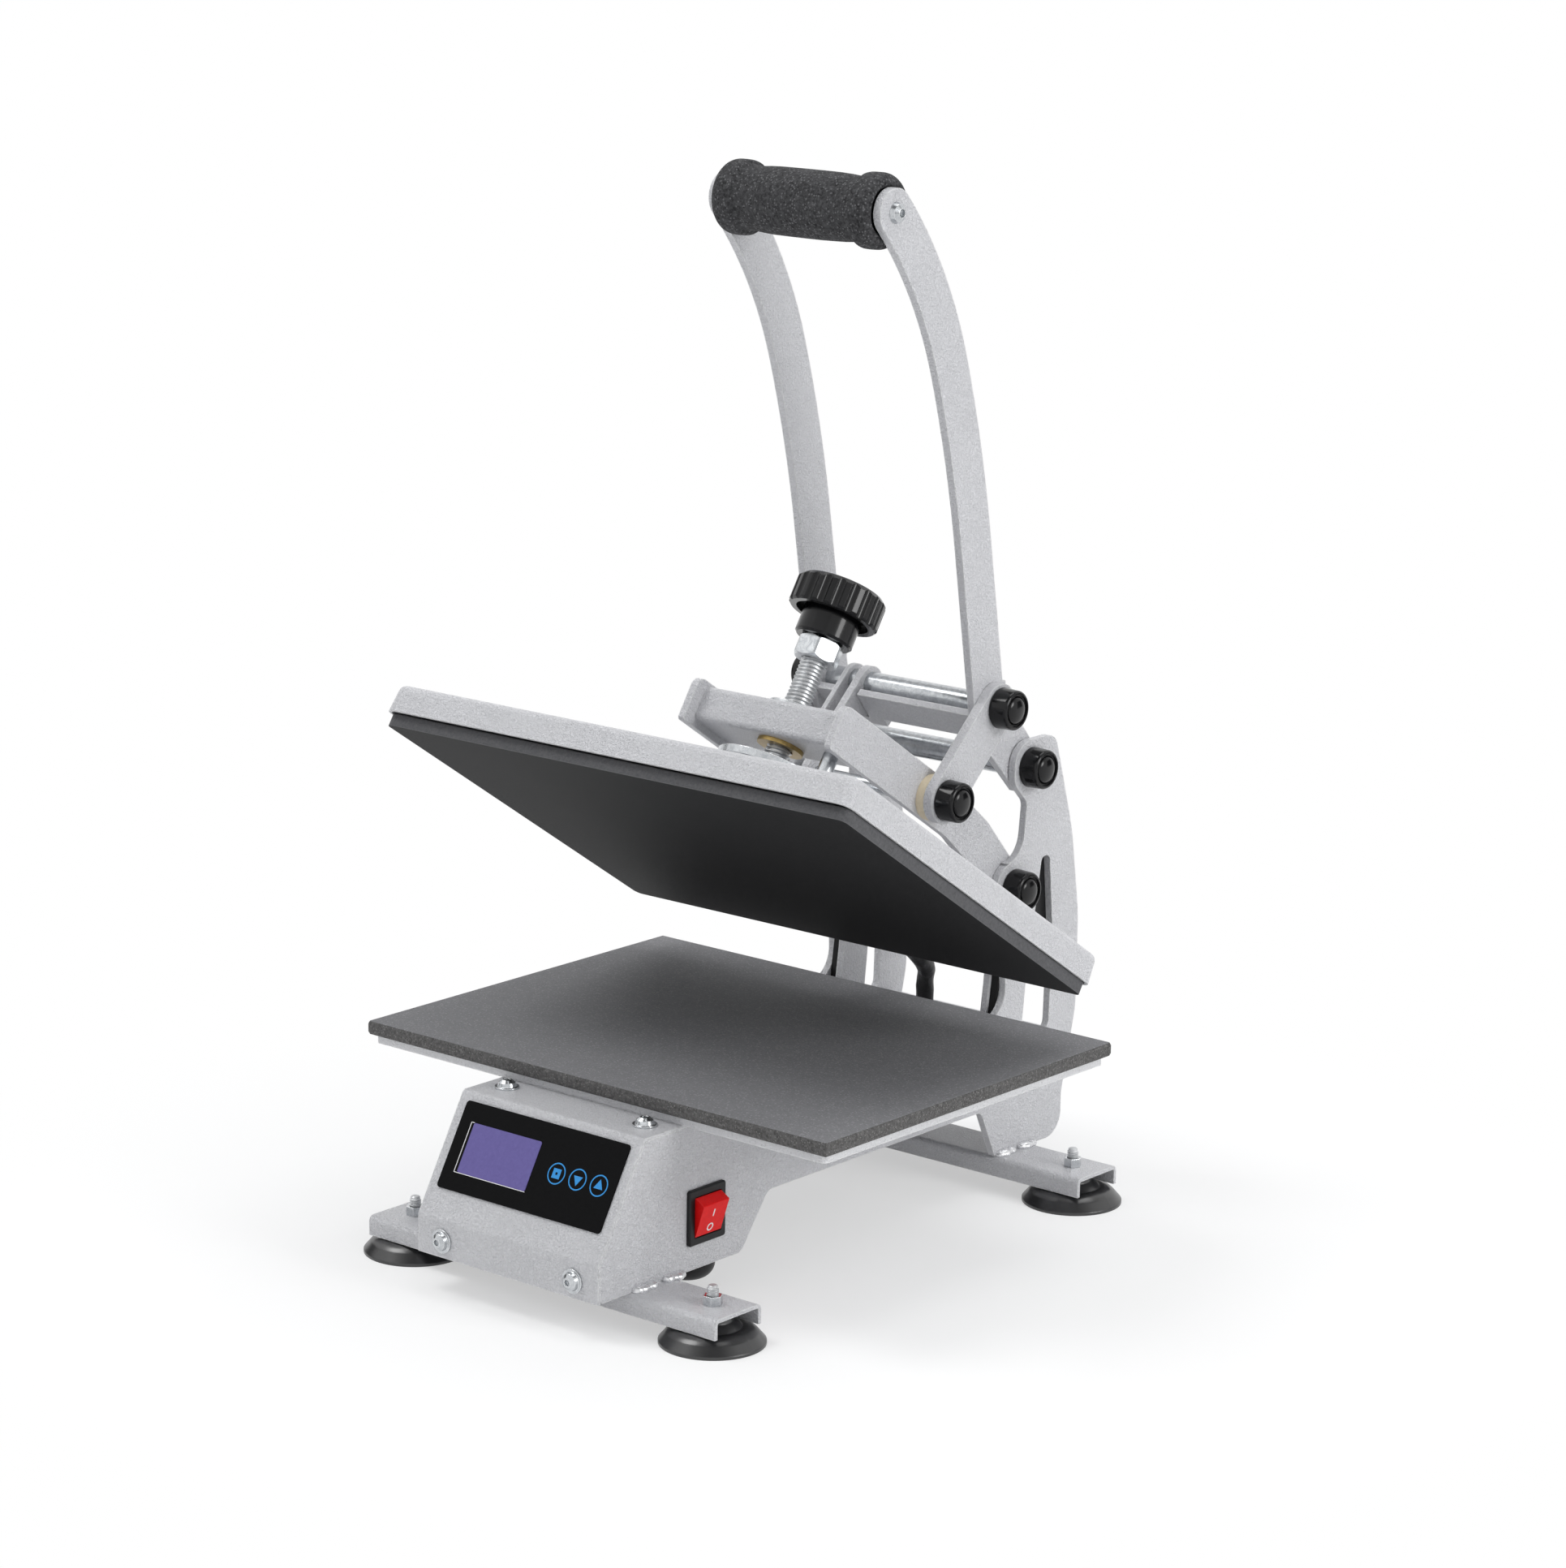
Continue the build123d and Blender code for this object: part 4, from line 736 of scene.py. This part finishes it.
# Foam grip: a tube of foam with a thicker rounded collar at each end
gripLook = {
    "y": 46.58, "z": 524.37, "half": 50.6, "bore": 9.1, "body": 17.3, "neck": 16.2, "collar": 19.15,
    "collarInner": 36.8, "collarFlat": 8.0, "round": 5.0, "sides": 72,
    "collarFall": ((0.0, 2.2), (-0.5, 1.1)),      # out from the collar, along from its inner end
    "neckRise": ((0.4, 0.0), (0.0, -0.9), (0.2, -6.0)),      # out from the neck, along from the same end
    "bodyStart": -16.0, "lumpSize": 0.012, "lumpDepth": 0.35 * mm, "lumpMiddle": 0.75,
}


def makeGrip(look):
    half, collar, rounding = look["half"], look["collar"], look["round"]
    ends = [(look["bore"], half), (collar - rounding, half)]
    for degrees in range(15, 91, 15):
        turn = math.radians(degrees)
        ends.append((collar - rounding + rounding * math.sin(turn),
                     half - rounding + rounding * math.cos(turn)))
    ends.append((collar, half - look["collarFlat"]))
    inner = look["collarInner"]
    ends += [(collar + out, inner + along) for out, along in look["collarFall"]]
    ends += [(look["neck"] + out, inner + along) for out, along in look["neckRise"]]
    ends.append((look["body"], inner + look["bodyStart"]))
    rings = [(radius * mm, -height * mm) for radius, height in ends]
    rings += [(look["body"] * mm, 0)]
    rings += [(radius * mm, height * mm) for radius, height in reversed(ends)]
    grip = turnRings(rings, look["sides"], closed=False)
    editAll()
    bpy.ops.mesh.select_all(action="DESELECT")
    bpy.ops.mesh.select_non_manifold()
    bpy.ops.mesh.bridge_edge_loops()
    bpy.ops.mesh.select_all(action="SELECT")
    bpy.ops.mesh.normals_make_consistent(inside=False)
    objectMode()
    addModifier(grip, "SUBSURF", levels=1, render_levels=1)
    lumps = bpy.data.textures.new("foamLumps", "CLOUDS")
    lumps.noise_scale = look["lumpSize"]
    addModifier(grip, "DISPLACE", texture=lumps, texture_coords="LOCAL", strength=look["lumpDepth"],
                mid_level=look["lumpMiddle"])
    grip.matrix_world = shift(0, look["y"], look["z"]) @ Matrix.Rotation(math.pi / 2, 4, "Y")
    finishPiece(grip, "foam_handle_grip", "foam", "handle", ["foam_grip"], smooth=60)


makeGrip(gripLook)
print("grip turned")


# Heater cable in a crinkled sleeve, from the box up through the frame to the platen
cableLook = {
    "radius": 4.75 * mm, "joinZ": 110.3, "baseZ": 58.0, "crinkleSize": 0.009, "crinkleDepth": 0.9 * mm,
    "steps": 24, "roundSteps": 6,
    "route": [(12.0, 100.18, 145.83), (12.0, 140.5, 119.65), (2.0, 151.0, 101.0), (2.0, 151.0, 53.0),
              (2.0, 104.0, 52.0), (2.0, 66.0, 82.0), (2.0, -76.0, 82.0)],
}


def makeCable(look):
    freshStart()
    line = bpy.data.curves.new("cableLine", "CURVE")
    line.dimensions = "3D"
    line.resolution_u = look["steps"]
    spline = line.splines.new("NURBS")
    spline.points.add(len(look["route"]) - 1)
    for point, place in zip(spline.points, look["route"]):
        point.co = (*spot(*place), 1)
    spline.order_u = 3
    spline.use_endpoint_u = True
    line.bevel_depth = look["radius"]
    line.bevel_resolution = look["roundSteps"]
    line.use_fill_caps = True
    whole = bpy.data.objects.new("heaterCable", line)
    bpy.context.collection.objects.link(whole)
    whole.select_set(True)
    bpy.context.view_layer.objects.active = whole
    bpy.ops.object.convert(target="MESH")
    whole = bpy.context.object
    crinkles = bpy.data.textures.new("sleeveCrinkles", "VORONOI")
    crinkles.noise_scale = look["crinkleSize"]
    addModifier(whole, "DISPLACE", texture=crinkles, texture_coords="LOCAL", strength=look["crinkleDepth"],
                mid_level=0.5)
    upper = copyPiece(whole, Matrix.Identity(4))
    for piece, above in ((whole, False), (upper, True)):
        freshStart()
        piece.select_set(True)
        bpy.context.view_layer.objects.active = piece
        editAll()
        bpy.ops.mesh.bisect(plane_co=spot(0, 0, look["joinZ"]), plane_no=(0, 0, 1), use_fill=True,
                            clear_inner=above, clear_outer=not above)
        objectMode()
    lower = finishPiece(whole, "sleeved_cable_lower", "cable_sleeve", None,
                        ["heater_cable_lower"], smooth=24)
    upper = finishPiece(upper, "sleeved_cable_upper", "cable_sleeve", None,
                        ["heater_cable_upper"], smooth=24)
    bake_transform(lower)
    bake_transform(upper)


makeCable(cableLook)
print("cable laid")


# Print on the control panel: three ringed keys, and a pale line on three parts of the display's edge
slopeFoot = (-171.7, 38.4)      # y, z
slopeHead = (-139.3, 94.8)
panelLook = {
    "lift": 0.8, "thick": 0.06, "keyS": 37.3, "ringOuter": 5.5, "ringInner": 4.85, "squareOuter": 3.5,
    "squareInner": 1.7, "triangle": 3.3, "keys": ((16.2, 4, 45.0), (30.0, 3, 180.0), (43.9, 3, 0.0)),
    "windowMiddle": (-21.8, 37.4), "windowSize": (45.6, 25.8), "rimWidth": 0.35, "rimGap": 1.9,
    "rimThick": 0.4, "rimLift": 0.9, "rimBevel": 0.08,
}


def onSlope(x, s, lift):
    run, rise = slopeHead[0] - slopeFoot[0], slopeHead[1] - slopeFoot[1]
    return (shift(x, *slopeFoot) @ Matrix.Rotation(math.atan2(rise, run), 4, "X")
            @ Matrix.Translation((0, s * mm, lift * mm)))


def flatRing(outer, inner, height, sides=40):
    freshStart()
    bpy.ops.mesh.primitive_circle_add(vertices=sides, radius=outer * mm, fill_type="NGON",
                                      location=(0, 0, 0))
    ring = bpy.context.object
    editAll()
    bpy.ops.mesh.inset(thickness=(outer - inner) * mm, depth=0)
    bpy.ops.mesh.delete(type="FACE")
    bpy.ops.mesh.select_all(action="SELECT")
    bpy.ops.mesh.extrude_region_move(TRANSFORM_OT_translate={"value": (0, 0, height * mm)})
    objectMode()
    return ring


def flatShape(sides, radius, turn, height, stretch=1.0):
    freshStart()
    bpy.ops.mesh.primitive_circle_add(vertices=sides, radius=radius * mm, fill_type="NGON",
                                      location=(0, 0, 0))
    shape = bpy.context.object
    editAll()
    bpy.ops.transform.rotate(value=math.radians(turn), orient_axis="Z", center_override=(0, 0, 0))
    bpy.ops.transform.resize(value=(1, stretch, 1), center_override=(0, 0, 0))
    bpy.ops.mesh.extrude_region_move(TRANSFORM_OT_translate={"value": (0, 0, height * mm)})
    objectMode()
    return shape


def flatBar(width, height, thick, bevel):
    freshStart()
    bpy.ops.mesh.primitive_cube_add(size=1.0, location=(0, 0, 0))
    bar = bpy.context.object
    editAll()
    bpy.ops.transform.resize(value=(width * mm, height * mm, thick * mm), center_override=(0, 0, 0))
    bpy.ops.mesh.bevel(offset=bevel * mm, segments=2, affect="EDGES")
    objectMode()
    return bar


def makePanelPrint(look):
    printed = []
    thick = look["thick"]
    for x, sides, turn in look["keys"]:      # an open square, then triangles down and up
        seat = onSlope(x, look["keyS"], look["lift"])
        ring = flatRing(look["ringOuter"], look["ringInner"], thick)
        ring.matrix_world = seat
        if sides == 4:
            mark = flatRing(look["squareOuter"], look["squareInner"], thick, sides)
            mark.matrix_world = seat @ Matrix.Rotation(math.radians(turn), 4, "Z")
        else:
            mark = flatShape(sides, look["triangle"], turn, thick)
            mark.matrix_world = seat
        printed += [ring, mark]
    for piece in printed:
        applyPlace(piece)
    finishPiece(joinPieces(printed), "key_print", "keyPrint", "base_frame")
    width, height = look["windowSize"]
    x, s = look["windowMiddle"]
    line, gap = look["rimWidth"], look["rimGap"]
    left, foot, head = x - width / 2 - gap, s - height / 2 - line / 2, s + height / 2
    bars = []
    sides = ((line, head - foot, left, (foot + head) / 2),
             (width + gap, line, x - gap / 2, foot),
             (gap, line, left + gap / 2, head))
    for across, up, barX, barS in sides:
        bar = flatBar(across, up, look["rimThick"], look["rimBevel"])
        bar.matrix_world = onSlope(barX, barS, look["rimLift"])
        applyPlace(bar)
        bars.append(bar)
    finishPiece(joinPieces(bars), "display_rim", "palePrint", "base_frame")


makePanelPrint(panelLook)
print("panel printed")


# On and off marks on the rocker
rockerLook = {
    "pivot": (60.0, -94.2, 46.3), "face": 5.2, "tilt": 17.9, "thick": 0.08, "barRadius": 0.58,
    "barStretch": 5.0, "barUp": 3.4, "ringOuter": 2.25, "ringInner": 1.55, "ringSides": 32, "ringDown": -4.9,
}


def makeRockerMarks(look):
    tilt = shift(*look["pivot"]) @ Matrix.Rotation(math.radians(look["tilt"]), 4, "Y")
    outward = Matrix.Rotation(math.pi / 2, 4, "Y") @ Matrix.Rotation(math.pi / 2, 4, "Z")
    ring = flatRing(look["ringOuter"], look["ringInner"], look["thick"], look["ringSides"])
    bar = flatShape(4, look["barRadius"], 45.0, look["thick"], look["barStretch"])
    for piece, height in ((ring, look["ringDown"]), (bar, look["barUp"])):
        piece.matrix_world = tilt @ Matrix.Translation((look["face"] * mm, 0, height * mm)) @ outward
        applyPlace(piece)
    finishPiece(joinPieces([ring, bar]), "rocker_marks", "palePrint", "power_rocker")


makeRockerMarks(rockerLook)
print("rocker marked")


# Weld beads where the side plates stand on the channels
weldLook = {
    "x": 61.0, "z": 19.8, "runs": ((-144.5, -134.5), (-122.5, -113.0), (143.5, 153.0), (162.0, 172.0)),
    "size": 3.9, "step": 3.1, "swell": 0.22, "swellRate": 2.3, "squash": (0.95, 0.85, 0.62), "wobble": 0.1,
    "wobbleRate": 1.7, "voxel": 0.55 * mm, "smooth": 0.6, "smoothRounds": 5,
}


def makeWelds(look):
    beads = []
    for side in (-1, 1):
        for start, end in look["runs"]:
            count = int((end - start) / look["step"]) + 1
            for index in range(count):
                swell = 1.0 + look["swell"] * math.sin(index * look["swellRate"] + start)
                radius = look["size"] * swell * mm
                freshStart()
                bpy.ops.mesh.primitive_uv_sphere_add(segments=16, ring_count=10, radius=radius)
                bead = bpy.context.object
                wide, deep, tall = look["squash"]
                tall += look["wobble"] * math.cos(index * look["wobbleRate"])
                seat = shift(side * look["x"], start + index * look["step"], look["z"])
                bead.matrix_world = seat @ Matrix.Diagonal((wide, deep, tall, 1))
                applyPlace(bead)
                beads.append(bead)
    weld = joinPieces(beads)
    addModifier(weld, "REMESH", mode="VOXEL", voxel_size=look["voxel"])
    addModifier(weld, "SMOOTH", factor=look["smooth"], iterations=look["smoothRounds"])
    finishPiece(weld, "weld_beads", "weldSteel", "base_frame", smooth=60)


makeWelds(weldLook)
print("welds laid")


# Floor, backdrop and light
studioLook = {
    "floorSize": 12.0, "floorWhite": 0.93, "floorRoughness": 0.9, "fadeStart": 0.22, "fadeEnd": 0.47,
    "fadeLeast": 0.48, "worldWhite": 0.60, "worldColour": (0.97, 0.985, 1.0),
}


def cameraShare(tree):      # 1 for what the camera sees, straight, mirrored or through glass
    ray = tree.nodes.new("ShaderNodeLightPath")
    share = mathNode(tree, "ADD", ray.outputs["Is Camera Ray"], ray.outputs["Is Transmission Ray"])
    return mathNode(tree, "ADD", share, ray.outputs["Is Glossy Ray"], clamp=True)


def mixInto(tree, share, first, second, output):      # first where share is 0, second where it is 1
    mixer = tree.nodes.new("ShaderNodeMixShader")
    tree.links.new(share, mixer.inputs["Fac"])
    tree.links.new(first, mixer.inputs[1])
    tree.links.new(second, mixer.inputs[2])
    tree.links.new(mixer.outputs["Shader"], tree.nodes[output].inputs["Surface"])


def plainWhite(tree, kind):      # the white that the camera sees
    blank = tree.nodes.new(kind)
    blank.inputs["Color"].default_value = (1, 1, 1, 1)
    blank.inputs["Strength"].default_value = 1.0
    return blank.outputs[0]


def addFloor(look):      # a floor whose shade fades to plain white away from the press
    bpy.ops.mesh.primitive_plane_add(size=look["floorSize"])
    floor = bpy.context.object
    floor.name = "studioFloor"
    white = (look["floorWhite"],) * 3
    paint, tree, shader = startMaterial("studioFloor", {"Roughness": look["floorRoughness"], "light": white})
    shader.inputs["Base Color"].default_value = (*white, 1)
    shader.inputs["Specular IOR Level"].default_value = 0.0
    place = tree.nodes.new("ShaderNodeTexCoord").outputs["Object"]
    reach = tree.nodes.new("ShaderNodeVectorMath")
    reach.operation = "LENGTH"
    tree.links.new(place, reach.inputs[0])
    fade = tree.nodes.new("ShaderNodeMapRange")
    fade.interpolation_type = "SMOOTHSTEP"
    fade.inputs["From Min"].default_value = look["fadeStart"]
    fade.inputs["From Max"].default_value = look["fadeEnd"]
    fade.inputs["To Min"].default_value = look["fadeLeast"]
    tree.links.new(reach.outputs["Value"], fade.inputs["Value"])
    share = mathNode(tree, "MULTIPLY", cameraShare(tree), fade.outputs["Result"])
    blank = plainWhite(tree, "ShaderNodeEmission")
    mixInto(tree, share, shader.outputs["BSDF"], blank, "Material Output")
    floor.data.materials.append(paint)


def addBackdrop(look):
    world = bpy.data.worlds.new("studioWorld")
    world.use_nodes = True
    bpy.context.scene.world = world
    tree = world.node_tree
    backdrop = tree.nodes["Background"]
    backdrop.inputs["Color"].default_value = (*look["worldColour"], 1)
    backdrop.inputs["Strength"].default_value = look["worldWhite"]
    blank = plainWhite(tree, "ShaderNodeBackground")
    mixInto(tree, cameraShare(tree), backdrop.outputs["Background"], blank, "World Output")


# Dark boards beside the floor, seen only in gloss, so that bright metal has something dark to mirror
boards = {
    "leftBoard": {"place": (-1.55, -0.35, 0.42), "size": (1.1, 0.55), "grey": 0.05},
    "frontBoard": {"place": (-0.85, -1.55, 0.30), "size": (0.6, 0.40), "grey": 0.06},
    "backBoard": {"place": (0.95, 1.35, 0.36), "size": (0.7, 0.50), "grey": 0.05},
    "rightBoard": {"place": (1.75, -0.55, 0.55), "size": (0.4, 0.35), "grey": 0.08},
    "highBoard": {"place": (0.0, 0.0, 3.4), "size": (5.0, 5.0), "grey": 0.20},
}


def addBoard(name, look):
    freshStart()
    bpy.ops.mesh.primitive_plane_add(size=1.0, location=look["place"])
    board = bpy.context.object
    board.name = name
    board.scale = (*look["size"], 1)
    across = Vector((-look["place"][0], -look["place"][1], 0))
    if across.length > 0:      # the high board lies flat over the press
        board.rotation_euler = across.to_track_quat("Z", "Y").to_euler()
    paint, tree, shader = startMaterial(name, {"Roughness": 1.0, "light": (look["grey"],) * 3})
    shader.inputs["Base Color"].default_value = (0, 0, 0, 1)
    shader.inputs["Specular IOR Level"].default_value = 0.0
    shader.inputs["Emission Color"].default_value = (look["grey"],) * 3 + (1,)
    shader.inputs["Emission Strength"].default_value = 1.0
    board.data.materials.append(paint)
    board.visible_camera = False
    board.visible_diffuse = False
    board.visible_shadow = False
    board.visible_transmission = False


# Three soft lamps: from the front left, from the right and from above
lamps = {
    "keyLamp": {"place": (-1.2, -0.8, 2.6), "aim": (0, 0, 0.2), "size": 1.1, "power": 27.0},
    "sideLamp": {"place": (2.3, 0.35, 1.15), "aim": (0, 0, 0.3), "size": 0.9, "power": 20.0},
    "topLamp": {"place": (0.2, 0.8, 2.8), "aim": (0, 0, 0.2), "size": 1.5, "power": 19.0},
}


def addLamp(name, look):
    bpy.ops.object.light_add(type="AREA", location=look["place"])
    lamp = bpy.context.object
    lamp.name = name
    lamp.data.size = look["size"]
    lamp.data.energy = look["power"]
    aim = Vector(look["aim"]) - Vector(look["place"])
    lamp.rotation_euler = aim.to_track_quat("-Z", "Y").to_euler()


freshStart()
addFloor(studioLook)
addBackdrop(studioLook)
for boardName, boardLook in boards.items():
    addBoard(boardName, boardLook)
for lampName, lampLook in lamps.items():
    addLamp(lampName, lampLook)
bpy.context.scene.view_settings.view_transform = "Standard"
print("studio lit")
